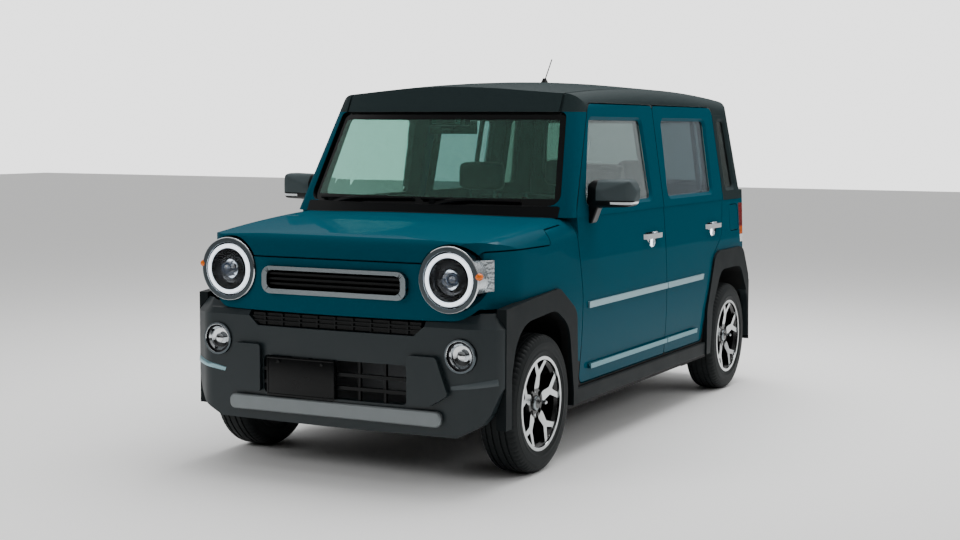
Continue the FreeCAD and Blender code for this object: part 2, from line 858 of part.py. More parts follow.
def bonnet_block(name, extra):
    side = outline(name + "_side_outline", "side", BONNET_SIDE, -half_width - 60)
    plan = outline(name + "_plan_outline", "top", BONNET_PLAN, 800)
    if extra:
        side = grown(name + "_side_edge", side, extra)
        plan = grown(name + "_plan_edge", plan, extra)
    return common(name, drawn(name + "_side", side, "side", -half_width - 60, half_width + 60),
                  drawn(name + "_plan", plan, "top", 800, 1200))


lamp_gap = rod("lamp_gap", "y", lamp_radius + shut_gap, (lamp_x, -half_length - 50, lamp_z),
               half_length - 1450)
lamp_gaps = both_sides("lamp_gaps", lamp_gap)
lamp_hole = rod("lamp_hole", "y", lamp_radius + seat_gap, (lamp_x, -half_length - 50, lamp_z),
                half_length - 1450)
lamp_holes = both_sides("lamp_holes", lamp_hole)
bonnet_hole = bonnet_block("bonnet_hole", shut_gap)
bonnet_hinge = common("bonnet_hinge", box("bonnet_hinge_block",
                      (cowl_half + 8, bonnet_rear_side_y - 50, 1000),
                      (cowl_half + 36, -850, belt_height)),
                      bonnet_block("bonnet_reach", shut_gap - seat_gap), shell)
bonnet = fused("bonnet_body", less("bonnet_panel", common("bonnet_shell", shell,
               bonnet_block("bonnet_block", 0)), lamp_gaps),
               both_sides("bonnet_hinges", bonnet_hinge))

# Nose panel, with the opening for the grille

NOSE_SIDE = [
    (-half_length - 60, bumper_seam_z + 4),
    (-1648, bumper_seam_z + 4, 30),
    (-1600, 716, 20),
    (bay_front, 716),
    (bay_front, nose_seam_z - shut_gap),
    (-half_length - 60, nose_seam_z - shut_gap),
]
GRILLE_EDGE = [
    (-342, 740, 40),
    (342, 740, 40),
    (342, 854, 40),
    (-342, 854, 40),
]
nose_block = prism("nose_block", "side", NOSE_SIDE, -half_width, half_width)
grille_shape = outline("grille_shape", "front", GRILLE_EDGE, -half_length - 30)
grille_hole = drawn("grille_hole", grown("grille_hole_edge", grille_shape, seat_gap), "front",
                    -half_length - 30, bay_front + 5)
indicator_block = prism("indicator_block", "front", [
    (575, 783, 12),
    (730, 783, 25),
    (730, 908, 25),
    (575, 908, 12),
], -half_length - 40, -1562)
indicator_solid = common("indicator_solid", lower_form("indicator_outside", -indicator_proud),
                         indicator_block)
indicator = less("indicator", indicator_solid, lamp_hole)
indicator_holes = both_sides("indicator_holes", indicator_block)
nose_panel = less("nose_skin", common("nose_shell", shell, nose_block), lamp_holes,
                  grille_hole, indicator_holes)

# Front bumper: a moulded shell round the lower front, open for grilles and lamps

BUMPER_PLAN = [
    (-640, -1666, 110),
    (0, -half_length + 8, 6000),
    (640, -1666, 110),
    (half_width - 0.5, -1600, 70),
    (half_width - 0.5, -1400),
    (-half_width + 0.5, -1400),
    (-half_width + 0.5, -1600, 70),
]
BUMPER_SIDE = [
    (-half_length - 60, 205),
    (-1500, 205),
    (-1500, 712),
    (-1602, 712, 20),
    (-1650, bumper_seam_z, 30),
    (-half_length - 60, bumper_seam_z),
]
bumper_plan = outline("bumper_plan", "top", BUMPER_PLAN, 150)
bumper_brow = document.addObject("Part::Loft", "bumper_brow")
brow_foot = outline("brow_foot", "top", BUMPER_PLAN, ridge_z)
brow_head = grown("brow_head", outline("brow_head_outline", "top", BUMPER_PLAN, 712),
                  -ridge_inset)
bumper_brow.Sections = [brow_foot, brow_head]
bumper_brow.Solid = True
bumper_brow.Ruled = True
bumper_jaw = common("bumper_jaw", drawn("bumper_tall", bumper_plan, "top", 150, ridge_z),
                    prism("bumper_taper", "front", [
                        (-560, 204),
                        (560, 204),
                        (656, 252, 60),
                        (690, 296, 60),
                        (730, 402, 60),
                        (half_width + 20, 440),
                        (half_width + 20, ridge_z + 20),
                        (-half_width - 20, ridge_z + 20),
                        (-half_width - 20, 440),
                        (-730, 402, 60),
                        (-690, 296, 60),
                        (-656, 252, 60),
                    ], -half_length - 40, -1300))
bumper_outside = common("bumper_outside", fused("bumper_whole", bumper_jaw, bumper_brow),
                        prism("bumper_side", "side", BUMPER_SIDE, -half_width - 10,
                              half_width + 10))
bumper_inside = drawn("bumper_inside", grown("bumper_inner_edge", bumper_plan, -bumper_wall),
                      "top", 150, 760)
bumper_slot = prism("bumper_slot", "front", [
    (-372, 601, 12),
    (372, 601, 12),
    (418, 642),
    (418, 700),
    (-418, 700),
    (-418, 642),
], -half_length - 10, -1600)
claw = common("claw", drawn("claw_reach", grown("claw_plan", bumper_plan, claw_proud), "top",
                            380, 480),
              prism("claw_shape", "front", [
                  (548, 384, 4),
                  (560, 388, 10),
                  (655, 420, 10),
                  (half_width + 20, 430),
                  (half_width + 20, 452),
                  (648, 444, 10),
                  (556, 412, 10),
                  (542, 406, 4),
              ], -half_length - 40, -1585))
lower_opening = prism("lower_opening", "front", [
    (-341, 321, 20),
    (341, 321, 20),
    (341, 481, 20),
    (-341, 481, 20),
], -half_length - 10, -1600)
fog_hole = rod("fog_hole", "y", fog_radius + seat_gap, (fog_x, -half_length - 10, fog_z), 200)
fog_holes = both_sides("fog_holes", fog_hole)
overrider = prism("overrider", "front", [
    (350, 326, 15),
    (450, 326, 15),
    (535, 377, 15),
    (480, 525, 20),
    (350, 525, 15),
], -half_length + 1, -1655)
bumper_shell = less("bumper_shell", bumper_outside, bumper_inside, bumper_slot, lower_opening,
                    fog_holes, wells)
front_bumper = fused("front_bumper_body", bumper_shell, both_sides("overriders", overrider),
                     both_sides("claws", claw))
bumper_bar = less("bumper_bar_body", prism("bar_block", "front", [
    (-503, 245, 25),
    (503, 245, 25),
    (503, 309, 25),
    (-503, 309, 25),
], -half_length, -half_length + 40), bumper_outside)

# Wings: the outer skin between nose, bonnet and front door

FENDER_SIDE = [
    (bay_front, 205),
    (door_front_y - 3, 205),
    (door_front_y - 3, door_bottom_z + 7),
    (door_front_y + 50, door_bottom_z + 7),
    (door_front_y + 50, 960),
    (-815, 1019),
    (bonnet_step_y, 1003),
    (bay_front, 1003),
]
fender_block = prism("fender_block", "side", FENDER_SIDE, 560, half_width + 10)
cowl_block = box("cowl_block", (-cowl_half, -1070, 1000),
                 (cowl_half, firewall_y + 10, screen_low_z))
fender = less("fender", common("fender_shell", shell, fender_block), bonnet_hole, wells,
              lamp_holes, indicator_holes, bumper_outside, door_holes[0], cowl_block,
              box("fender_foot", (500, -1600, 150), (800, -1540, 262)))
front_fenders = both_sides("front_fenders_body", fender)

# Roof and the dark quarters beside the tailgate

roof_block = box("roof_block", (-half_width, -1000, roof_split_z),
                 (half_width, half_length, overall_height + 20))
quarter_block = prism("quarter_block", "side", [
    (rear_door_back_y + 2, belt_height - 48, 15),
    (1700, belt_height - 48),
    (1700, roof_split_z),
    (1160, roof_split_z),
], 400, half_width)

# Tailgate: the whole rear face above the bumper, hinged at the roof

TAILGATE_REAR = [
    (-tailgate_half, tailgate_low_z, 30),
    (tailgate_half, tailgate_low_z, 30),
    (tailgate_half, belt_height, 200),
    (tailgate_half - 90, crown_height + 60),
    (-tailgate_half + 90, crown_height + 60),
    (-tailgate_half, belt_height, 200),
]


def tailgate_block(name, extra):
    shape = outline(name + "_outline", "front", TAILGATE_REAR, tailgate_hinge_y - extra)
    if extra:
        shape = grown(name + "_edge", shape, extra)
    return drawn(name, shape, "front", tailgate_hinge_y - extra, half_length + 40)


tail_window = prism("tail_window", "front", [
    (-tail_glass_half, tail_glass_low_z, 50),
    (tail_glass_half, tail_glass_low_z, 50),
    (tail_glass_half - 45, tail_glass_high_z, 50),
    (-tail_glass_half + 45, tail_glass_high_z, 50),
], 1380, half_length + 40)
tail_shape = tailgate_block("tailgate_block", 0)
tail_hole = tailgate_block("tailgate_hole", shut_gap + 1)
tailgate_hinge = box("tailgate_hinge", (300, tailgate_hinge_y - shut_gap - 1 + seat_gap, 1595),
                     (345, tailgate_hinge_y + 40, 1612))
rear_plate_hole = rod("rear_plate_hole", "y", plate_hole_radius,
                      (plate_hole_half, 1606, rear_plate_z), 60)
plate_pad = box("plate_pad", (-160, 1560, rear_plate_z - 90), (160, plate_pad_y,
                                                               rear_plate_z + 30))
tail_garnish = prism("tail_garnish", "top", [
    (-262, 1600),
    (262, 1600),
    (262, 1640, 12),
    (0, 1660, 3000),
    (-262, 1640, 12),
], 925, 962)
tailgate = fused("tailgate_body", tail_garnish, less("tailgate_panel", fused("tailgate_padded",
                 common("tailgate_shell", shell, tail_shape), plate_pad), tail_window,
                 both_sides("rear_plate_holes", rear_plate_hole)),
                 both_sides("tailgate_hinges", tailgate_hinge))
tail_lamp_block = box("tail_lamp_block", (tailgate_half + shut_gap + 2, 1400, 795),
                      (half_width + 10, half_length, 1012))
tail_lamp = common("tail_lamp", lower_outside, tail_lamp_block,
                   box("tail_lamp_depth", (560, 1440, 700), (half_width + 10, 1700, 1100)))
tail_lamp_holes = both_sides("tail_lamp_holes", tail_lamp)
ditches = less("ditches", both_sides("ditch_pair", box("ditch_block",
               (ditch_x - ditch_half, -1000, roof_split_z - 10),
               (ditch_x + ditch_half, tailgate_hinge_y, crown_height))),
               upper_form("ditch_floor", ditch_depth))
roof = less("roof_panel", common("roof_shell", shell, roof_block), tail_hole, ditches,
            *door_holes)
quarter = less("quarter", common("quarter_shell", shell, quarter_block), tail_hole,
               quarter_window, *door_holes)
quarter_panels = both_sides("quarter_panels_body", quarter)

# Glass that doesn't move: windscreen and quarter panes

screen_outside = upper_form("screen_outside", glass_inset)
screen_inside = upper_form("screen_inside", glass_inset + glass_wall)
glass_layer = less("glass_layer", screen_outside, screen_inside)
screen_window = prism("screen_window", "front", [
    (-screen_low_half, screen_low_z, 45),
    (screen_low_half, screen_low_z, 45),
    (screen_high_half, roof_split_z, 30),
    (-screen_high_half, roof_split_z, 30),
], -1100, -400)
screen_pane = common("screen_pane", glass_layer, screen_window)
tail_pane = common("tail_pane", glass_layer, tail_window)
quarter_pane = glass_sheet("quarter_pane", QUARTER_WINDOW)
fixed_glass = grouped("fixed_glass_body", screen_pane, both_sides("quarter_panes",
                                                                  quarter_pane))
front_pane = glass_sheet("front_pane", FRONT_WINDOW)
rear_pane = glass_sheet("rear_pane", REAR_WINDOW)

# Fuel lid in the left rear flank

FUEL_LID = [
    (1275, 868, 25),
    (1420, 868, 25),
    (1420, 1006, 25),
    (1275, 1006, 25),
]
fuel_shape = outline("fuel_shape", "side", FUEL_LID, 600)
fuel_block = drawn("fuel_block", fuel_shape, "side", 600, half_width + 10)
fuel_pocket = common("fuel_pocket", drawn("fuel_deep", grown("fuel_pocket_edge", fuel_shape, 5),
                     "side", 600, half_width + 10),
                     box("fuel_depth", (fuel_floor_x, 1200, 800), (half_width, 1500, 1100)))
fuel_lid = fused("fuel_lid_body", less("fuel_lid_panel", common("fuel_lid_shell", shell,
                 fuel_block), lower_form("fuel_inside", 10)),
                 box("fuel_arm", (fuel_floor_x + seat_gap, 1287, 926), (706, 1300, 948)))

# Rear bumper, and the cowl tray between bonnet and windscreen

rear_plan = outline("rear_plan", "top", [
    (-half_width + 0.5, 1400),
    (half_width - 0.5, 1400),
    (half_width - 0.5, 1600, 60),
    (600, 1668, 90),
    (0, half_length + 10.2, 6000),
    (-600, 1668, 90),
    (-half_width + 0.5, 1600, 60),
], 220)
rear_outside = common("rear_outside", drawn("rear_tall", rear_plan, "top", 220, 600),
                      prism("rear_side", "side", [
                          (1520, 240),
                          (half_length + 20, 290),
                          (half_length + 20, tailgate_low_z - 10),
                          (1520, tailgate_low_z - 10),
                      ], -half_width - 10, half_width + 10))
rear_inside = drawn("rear_inside", grown("rear_inner_edge", rear_plan, -bumper_wall), "top",
                    220, tailgate_low_z - 40)
rear_bumper = less("rear_bumper_body", rear_outside, rear_inside, wells)
cowl = less("cowl_body", common("cowl_shell", shell, cowl_block), bonnet_hole)

# Body shell: what is left of the steel body between all of these

front_end = box("front_end", (-half_width, -half_length - 60, 150),
                (half_width, bay_front, belt_height))
bay_trim = fused("bay_trim", box("bay_trim_front", (-560, bonnet_step_y, 950),
                                 (560, -1069, 1010)),
                 box("bay_trim_rear", (-560, -1070, 950),
                     (560, firewall_y - firewall_wall, 1000)))
shell_panel = less("shell_panel", shell, *door_holes, bonnet_hole, front_end, bumper_outside,
                   bay_trim,
                   both_sides("fender_blocks", fender_block), roof_block, tail_hole,
                   both_sides("quarter_blocks", quarter_block), wells, lamp_holes,
                   indicator_holes, tail_lamp_holes, screen_window, fuel_pocket, cowl_block,
                   rear_bumper)
pillar_inner_x = belt_half - door_wall - pillar_wall
pillar_band = box("pillar_band", (-half_width, pillar_y - pillar_half, floor_top - 5),
                  (half_width, pillar_y + pillar_half, crown_height))
pillars = common("pillars", less("pillar_layer",
                 fused("pillar_outside", upper_form("pillar_upper", wall + shut_gap),
                       lower_form("pillar_lower", door_wall + shut_gap)),
                 upper_form("pillar_inner", wall + pillar_wall),
                 box("pillar_low_inner", (-pillar_inner_x, 0, 0),
                     (pillar_inner_x, pillar_y * 2, belt_height - wall))), pillar_band)
front_core = box("front_core", (-half_width, -half_length - 60, 100),
                 (half_width, firewall_y, 1000))
floor_core = fused("floor_core", box("floor_front", (-floor_half, firewall_y, 100),
                   (floor_half, floor_step_y, floor_top + 10)),
                   box("floor_rear", (-rear_floor_half, floor_step_y - 11, 100),
                       (rear_floor_half, 1530, rear_floor_top + 5)))
jack_pads = []
for name, jack_y in (("front_jack_pad", jack_front_y), ("rear_jack_pad", jack_rear_y)):
    pad = box(name, (jack_x - 25, jack_y - 40, floor_bottom - jack_drop),
              (jack_x + 25, jack_y + 40, floor_bottom + 2))
    jack_pads.append(pad)
    jack_pads.append(mirrored(name + "_right", pad))
front_structure = common("front_structure_body", shell_panel, front_core)
floor_pan = common("floor_pan_body", shell_panel, floor_core)
body_shell = fused("body_shell_body", less("side_frames", shell_panel, front_core, floor_core),
                   pillars, *jack_pads)

# Grille, lamps and trims of the front

grille_front = box("grille_front", (-360, grille_face_y, 730), (360, bay_front - 40, 870))
grille_mouth = prism("grille_mouth", "front", [
    (-318, 760, 28),
    (318, 760, 28),
    (318, 838, 28),
    (-318, 838, 28),
], grille_face_y - 10, bay_front - 50)
grille_block = drawn("grille_block", grille_shape, "front", -half_length - 30, bay_front + 5)
grille_frame = less("grille_frame", common("grille_plate", grille_block, grille_front),
                    grille_mouth)
grille_bars = []
for index in range(3):
    height = 776 + index * 21
    bar = box("grille_bar_" + str(index), (-320, grille_face_y + 14, height),
              (320, bay_front - 48, height + 9))
    grille_bars.append(bar)
grille = fused("grille_body", grille_frame, *grille_bars)


LAMP_STEPS = [(1.0, 4), (0.975, 0), (0.85, 0), (0.83, 4), (0.82, 14), (0.775, 14), (0.765, 4),
              (0.70, 4), (0.685, 9), (0.45, 44), (0.32, 48), (0.305, 22), (0.23, 14), (0, 10)]
FOG_STEPS = [(1.0, 3), (0.97, 0), (0.86, 0), (0.83, 3), (0.82, 10), (0.72, 10), (0.58, 24),
             (0.30, 28), (0.28, 14), (0.18, 9), (0, 7)]


def lamp(name, radius, x, z, front, back, steps):
    """A round lamp turned about a fore-and-aft line, its face in steps of (radius, depth)."""
    corners = [(x, back), (x + radius, back)]
    for share, depth in steps:
        corners.append((x + radius * share, front + depth))
    solid = turned(name, "top", corners, "y", (x, 0, 0))
    bind(solid, "Placement.Base.z", z)
    return solid


headlamp = lamp("headlamp", lamp_radius, lamp_x, lamp_z, lamp_front_y,
                lamp_front_y + lamp_depth, LAMP_STEPS)
headlamps = both_sides("headlamps_body", fused("headlamp_side", headlamp, indicator))
fog_lamp = lamp("fog_lamp", fog_radius, fog_x, fog_z, fog_front_y, fog_front_y + 70, FOG_STEPS)
fog_lamps = both_sides("fog_lamps_body", fog_lamp)
lower_bars = []
for index in range(2):
    height = 362 + index * 54
    bar = box("lower_bar_" + str(index), (-341, fog_front_y, height),
              (341, fog_front_y + 22, height + 14))
    lower_bars.append(bar)
for index in range(5):
    across = -240 + index * 120
    bar = box("lower_rib_" + str(index), (across - 5, fog_front_y + 4, 321),
              (across + 5, fog_front_y + 20, 481))
    lower_bars.append(bar)
mesh_half = 400
slot_mesh = [box("slot_plate", (-mesh_half, -1663, 606), (mesh_half, -1655, 655))]
for index in range(2):
    height = 620 + index * 17
    slot_mesh.append(box("slot_bar_" + str(index), (-mesh_half, -1671, height),
                         (mesh_half, -1662, height + 5)))
for index in range(9):
    across = -340 + index * 85
    slot_mesh.append(box("slot_rib_" + str(index), (across - 4, -1670, 606),
                         (across + 4, -1662, 655)))
slot_grille = common("slot_grille", fused("slot_lattice", *slot_mesh),
                     drawn("slot_fit", grown("slot_edge", outline("slot_fit_outline", "front", [
                         (-372, 601, 12),
                         (372, 601, 12),
                         (418, 642),
                         (418, 700),
                         (-418, 700),
                         (-418, 642),
                     ], -half_length), -seat_gap), "front", -half_length, -1600))
plate_holes = []
for index, across in enumerate((plate_x - plate_hole_half, plate_x + plate_hole_half)):
    plate_holes.append(rod("plate_hole_" + str(index), "y", plate_hole_radius,
                           (across, -half_length - 20, plate_hole_z), 60))
plate_bracket = less("plate_bracket", fused("plate_holder",
                     prism("plate_back", "front", [
                         (plate_x - 130, 350, 10),
                         (plate_x + 130, 350, 10),
                         (plate_x + 130, 475, 10),
                         (plate_x - 130, 475, 10),
                     ], -1692, -1687),
                     box("plate_post", (plate_x - 60, -1688, 370),
                         (plate_x + 60, fog_front_y + 2, 430))), *plate_holes)
lower_grille = fused("lower_grille_body", plate_bracket, *lower_bars)

# Arch mouldings and sill covers, moulded pieces that stand proud of the flank

front_arch_block = prism("front_arch_block", "side", [
    (-1585, 235),
    (-1585, 716),
    (-1500, 724, 60),
    (-1070, 757, 80),
    (-885, 646, 80),
    (-866, 235),
], moulding_inner_x, half_width)
rear_arch_block = prism("rear_arch_block", "side", [
    (846, 235),
    (846, 480),
    (965, 748, 120),
    (1040, 772, 30),
    (1450, 772, 100),
    (1560, 600, 100),
    (1580, 235),
], moulding_inner_x, half_width)
arch_pieces = []
for block in (front_arch_block, rear_arch_block):
    piece = less(block.Name + "_open", block, wells, lower_outside, bumper_outside,
                 rear_outside, *door_holes)
    arch_pieces.append(piece)
arch_mouldings = both_sides("arch_mouldings_body", grouped("arch_pair", *arch_pieces))
sill_cover = less("sill_cover", prism("sill_block", "side", [
    (-866, 234, 15),
    (846, 234, 15),
    (846, 302, 10),
    (-866, 302, 10),
], moulding_inner_x, flank_half - 5), lower_outside)
sill_covers = both_sides("sill_covers_body", sill_cover)
tail_lamps = both_sides("tail_lamps_body", tail_lamp)

# The aerial on the roof

aerial_mast = rod("aerial_mast", "z", 3, (0, aerial_y, aerial_z), aerial_length)
aerial_mast.Placement = Placement(Vector(), Rotation(Vector(1, 0, 0), -aerial_lean.value))
place(aerial_mast, 0, aerial_y, aerial_z + 8)
aerial_foot = document.addObject("Part::Cone", "aerial_foot")
bind(aerial_foot, "Radius1", 20)
bind(aerial_foot, "Radius2", 8)
bind(aerial_foot, "Height", 24)
place(aerial_foot, 0, aerial_y, aerial_z)

# Wheels: one tyre, one alloy wheel with its hub and disc

def wheel_pair(end, axle_y):
    """The left tyre and wheel of one axle."""
    edge = half_track + tyre_width / 2
    inner = half_track - tyre_width / 2
    rim_out = half_track + rim_width / 2
    rim_in = half_track - rim_width / 2
    tyre = turned("tyre_" + end, "front", [
        (rim_in - 4, tyre_radius + rim_radius - 8),
        (inner, tyre_radius + rim_radius + 40, 30),
        (inner + 8, tyre_radius * 2, tyre_shoulder),
        (edge - 8, tyre_radius * 2, tyre_shoulder),
        (edge, tyre_radius + rim_radius + 40, 30),
        (rim_out + 4, tyre_radius + rim_radius - 8),
    ], "x", (0, 0, tyre_radius))
    bind(tyre, "Placement.Base.y", axle_y)
    rim = turned("rim_" + end, "front", [
        (rim_in - 4, tyre_radius + rim_radius - 8 - seat_gap),
        (rim_in - 4, tyre_radius + rim_radius - 26),
        (rim_in + 20, tyre_radius + rim_radius - 34),
        (rim_out - 20, tyre_radius + rim_radius - 34),
        (rim_out - 8, tyre_radius + rim_radius - 22),
        (rim_out + 4, tyre_radius + rim_radius - 22),
        (rim_out + 4, tyre_radius + rim_radius - 8 - seat_gap),
    ], "x", (0, 0, tyre_radius))
    bind(rim, "Placement.Base.y", axle_y)
    hub = turned("hub_" + end, "front", [
        (rim_in + 30, tyre_radius + hub_bore),
        (rim_in + 30, tyre_radius + disc_radius),
        (rim_in + 42, tyre_radius + disc_radius),
        (rim_in + 42, tyre_radius + hub_radius + 6),
        (rim_out - 44, tyre_radius + hub_radius + 6),
        (rim_out - 26, tyre_radius + hub_radius),
        (rim_out - 26, tyre_radius + cap_radius + 3),
        (rim_out - 18, tyre_radius + cap_radius),
        (rim_out - 15, tyre_radius + cap_radius - 8),
        (rim_out - 15, tyre_radius),
        (rim_out - 30, tyre_radius),
        (rim_out - 30, tyre_radius + hub_bore),
    ], "x", (0, 0, tyre_radius))
    bind(hub, "Placement.Base.y", axle_y)
    dish = turned("dish_" + end, "front", [
        (rim_out - 52, tyre_radius + 26),
        (rim_out - 50, tyre_radius + 112),
        (rim_out - 36, tyre_radius + rim_radius - 26),
        (rim_out - 4, tyre_radius + rim_radius - 26),
        (rim_out - 9, tyre_radius + 150),
        (rim_out - 22, tyre_radius + hub_radius),
        (rim_out - 26, tyre_radius + 26),
    ], "x", (0, 0, tyre_radius))
    bind(dish, "Placement.Base.y", axle_y)
    spokes = []
    for index in range(spoke_count):
        spoke = prism("spoke_" + end + "_" + str(index), "side", [
            (-19, hub_radius - 14),
            (19, hub_radius - 14),
            (22, 76, 8),
            (17, 118, 8),
            (68, rim_radius - 24),
            (41, rim_radius - 24),
            (0, 137, 6),
            (-41, rim_radius - 24),
            (-68, rim_radius - 24),
            (-17, 118, 8),
            (-22, 76, 8),
        ], rim_out - 60, rim_out + 4)
        turn = Rotation(Vector(1, 0, 0), index * 360 / spoke_count)
        spoke.Placement = Placement(Vector(), turn)
        place(spoke, 0, axle_y, tyre_radius)
        spokes.append(spoke)
    star = common("star_" + end, fused("spokes_" + end, *spokes), dish)
    bolt_holes = []
    for index in range(bolt_count):
        angle = math.radians(45 + index * 360 / bolt_count)
        reach = bolt_circle / 2
        bolt_holes.append(rod("bolt_" + end + "_" + str(index), "x", 11,
                              (rim_out - 42, axle_y + reach * math.cos(angle),
                               tyre_radius + reach * math.sin(angle)), 60))
    wheel = less("wheel_" + end, fused("wheel_whole_" + end, rim, hub, star), *bolt_holes)
    return tyre, wheel


front_tyre, front_wheel = wheel_pair("front", axle_front)
rear_tyre, rear_wheel = wheel_pair("rear", axle_rear)

# Front running gear: knuckle with its strut, subframe with arms and drive shafts

strut_x = ball_x - (strut_top_z - ball_z) * kingpin_lean
pin_radius = 9
strut_ball = 11


def ball(name, radius, x, z):
    """A ball on the kingpin line, so that it turns in its seat without lifting."""
    solid = document.addObject("Part::Sphere", name)
    bind(solid, "Radius", radius)
    place(solid, x, axle_front, z)
    return solid


pin_z = ball_z + seat_gap + pin_radius
pin_x = ball_x - 24 - pin_radius * kingpin_slope
strut_ball_z = strut_top_z - strut_ball
strut_ball_x = ball_x - 24 - (strut_ball_z - ball_z) * kingpin_slope
knuckle = fused("knuckle_body",
                rod("spindle", "x", hub_bore - seat_gap, (strut_x, axle_front, tyre_radius),
                    half_track + 38 - strut_x),
                box("carrier", (strut_x - 20, axle_front - 50, tyre_radius - 62),
                    (ball_x - 14, axle_front + 50, tyre_radius + 80)),
                ball("ball_pin", pin_radius, pin_x, pin_z),
                rod("pin_stem", "z", 7, (pin_x, axle_front, pin_z), 30),
                rod("strut_tube", "z", 24, (strut_x, axle_front, tyre_radius + 50), 240),
                rod("strut_rod", "z", 9, (strut_ball_x, axle_front, tyre_radius + 280),
                    strut_ball_z - tyre_radius - 280),
                ball("strut_top", strut_ball, strut_ball_x, strut_ball_z))
subframe_back = axle_front + 240
arm = prism("lower_arm", "top", [
    (bay_half - 10, axle_front - 40),
    (ball_x - 10, axle_front - 26, 14),
    (ball_x - 10, axle_front + 26, 14),
    (bay_half - 10, axle_front + 200),
], 186, ball_z)
drive_shaft = rod("drive_shaft", "x", 13, (engine_half, axle_front, tyre_radius),
                  strut_x - 45 - engine_half)
front_axle = grouped("front_axle_body",
                     fused("subframe", box("subframe_block",
                                           (-bay_half + seat_gap, axle_front - 60, 186),
                                           (bay_half - seat_gap, subframe_back, engine_bottom)),
                           both_sides("lower_arms", arm)),
                     both_sides("drive_shafts", drive_shaft))
engine_block = box("engine_block_body", (-engine_half, -1530, engine_bottom),
                   (engine_half, -1130, 820))
stub = rod("rear_stub", "x", hub_bore - seat_gap, (rear_well_inner - 30, axle_rear, tyre_radius),
           half_track + 38 - rear_well_inner + 30)
trailing_arm = box("trailing_arm", (380, axle_rear - 330, 262), (420, axle_rear, 317))
arm_mount = box("arm_mount", (370, axle_rear - 330, 300),
                (430, axle_rear - 280, rear_floor_top - floor_sheet))
damper = rod("rear_damper", "z", 28, (400, axle_rear + 20, tyre_radius + 10),
             rear_floor_top - floor_sheet - tyre_radius - 10 - seat_gap)
rear_axle = fused("rear_axle_body",
                  rod("rear_beam", "x", 36, (-455, axle_rear, tyre_radius), 910),
                  both_sides("rear_stubs", stub), both_sides("trailing_arms", trailing_arm),
                  both_sides("arm_mounts", arm_mount), both_sides("rear_dampers", damper))
exhaust = fused("exhaust_body",
                rod("exhaust_pipe", "y", 17, (-exhaust_x, subframe_back + seat_gap,
                                              floor_bottom - 17 - seat_gap),
                    1500 - subframe_back - seat_gap),
                rod("muffler", "x", 58, (-exhaust_x - 30, 1505, 262), 420))
fuel_tank = box("fuel_tank_body", (-260, floor_step_y + 60, 240),
                (360, floor_step_y + 310, rear_floor_top - floor_sheet - seat_gap))

# Cabin: dashboard, steering wheel, seats and mirrors

column = document.addObject("Part::Cylinder", "column")
bind(column, "Radius", 26)
bind(column, "Height", 170)
column.Placement = Placement(Vector(), Rotation(Vector(1, 0, 0), 90 + column_tilt.value))
place(column, -wheel_x, helm_y - 22.9, helm_z - 10.7)
dashboard = fused("dashboard_body", column,
                  prism("dash_block", "side", [
                      (firewall_y, 620),
                      (firewall_y, 920),
                      (-812, 935),
                      (-806, 1012, 20),
                      (-700, 1020, 60),
                      (-560, 950, 50),
                      (-540, 790, 40),
                      (-640, 620, 30),
                  ], -610, 610))
seat_bases = grouped("seat_bases_body",
                     box("base_left", (wheel_x - 180, -280, floor_top),
                         (wheel_x + 180, 150, seat_base_z)),
                     box("base_right", (-wheel_x - 180, -280, floor_top),
                         (-wheel_x + 180, 150, seat_base_z)))


def seat(name, low_x, high_x, front_y, seat_z, back_top):
    """A plain soft seat: cushion, leaning back and head restraint."""
    return prism(name, "side", [
        (front_y, seat_z, 30),
        (front_y + 560, seat_z, 30),
        (front_y + 700, back_top, 30),
        (front_y + 690, back_top + 200, 40),
        (front_y + 610, back_top + 200, 40),
        (front_y + 590, back_top, 20),
        (front_y + 440, seat_z + 160, 60),
        (front_y, seat_z + 150, 60),
    ], low_x, high_x)


front_seats = grouped("front_seats_body",
                      seat("seat_left", wheel_x - 235, wheel_x + 235, -360,
                           seat_base_z + seat_gap, 1060),
                      seat("seat_right", -wheel_x - 235, -wheel_x + 235, -360,
                           seat_base_z + seat_gap, 1060))
rear_seat = seat("rear_seat_body", -rear_seat_half, rear_seat_half, 480,
                 rear_floor_top + seat_gap, 1010)
steering_rim = document.addObject("Part::Torus", "steering_rim")
bind(steering_rim, "Radius1", 178)
bind(steering_rim, "Radius2", 14)
steering_hub = document.addObject("Part::Cylinder", "steering_hub")
bind(steering_hub, "Radius", 70)
bind(steering_hub, "Height", 50)
place(steering_hub, 0, 0, -25)
steering_bar = box("steering_bar", (-170, -18, -10), (170, 18, 10))
steering_parts = fused("steering_parts", steering_rim, steering_hub, steering_bar)
steering_wheel = shifted("steering_wheel_body", steering_parts)
steering_wheel.Placement = Placement(Vector(), Rotation(Vector(1, 0, 0), column_tilt.value - 90))
place(steering_wheel, -wheel_x, helm_y, helm_z)
mirror_glass = fused("interior_mirror_body",
                     box("mirror_case", (-120, -640, 1395), (120, -622, 1455)),
                     rod("mirror_stalk", "y", 8, (0, -764, 1425), 127))

# Outside mirrors on the front doors

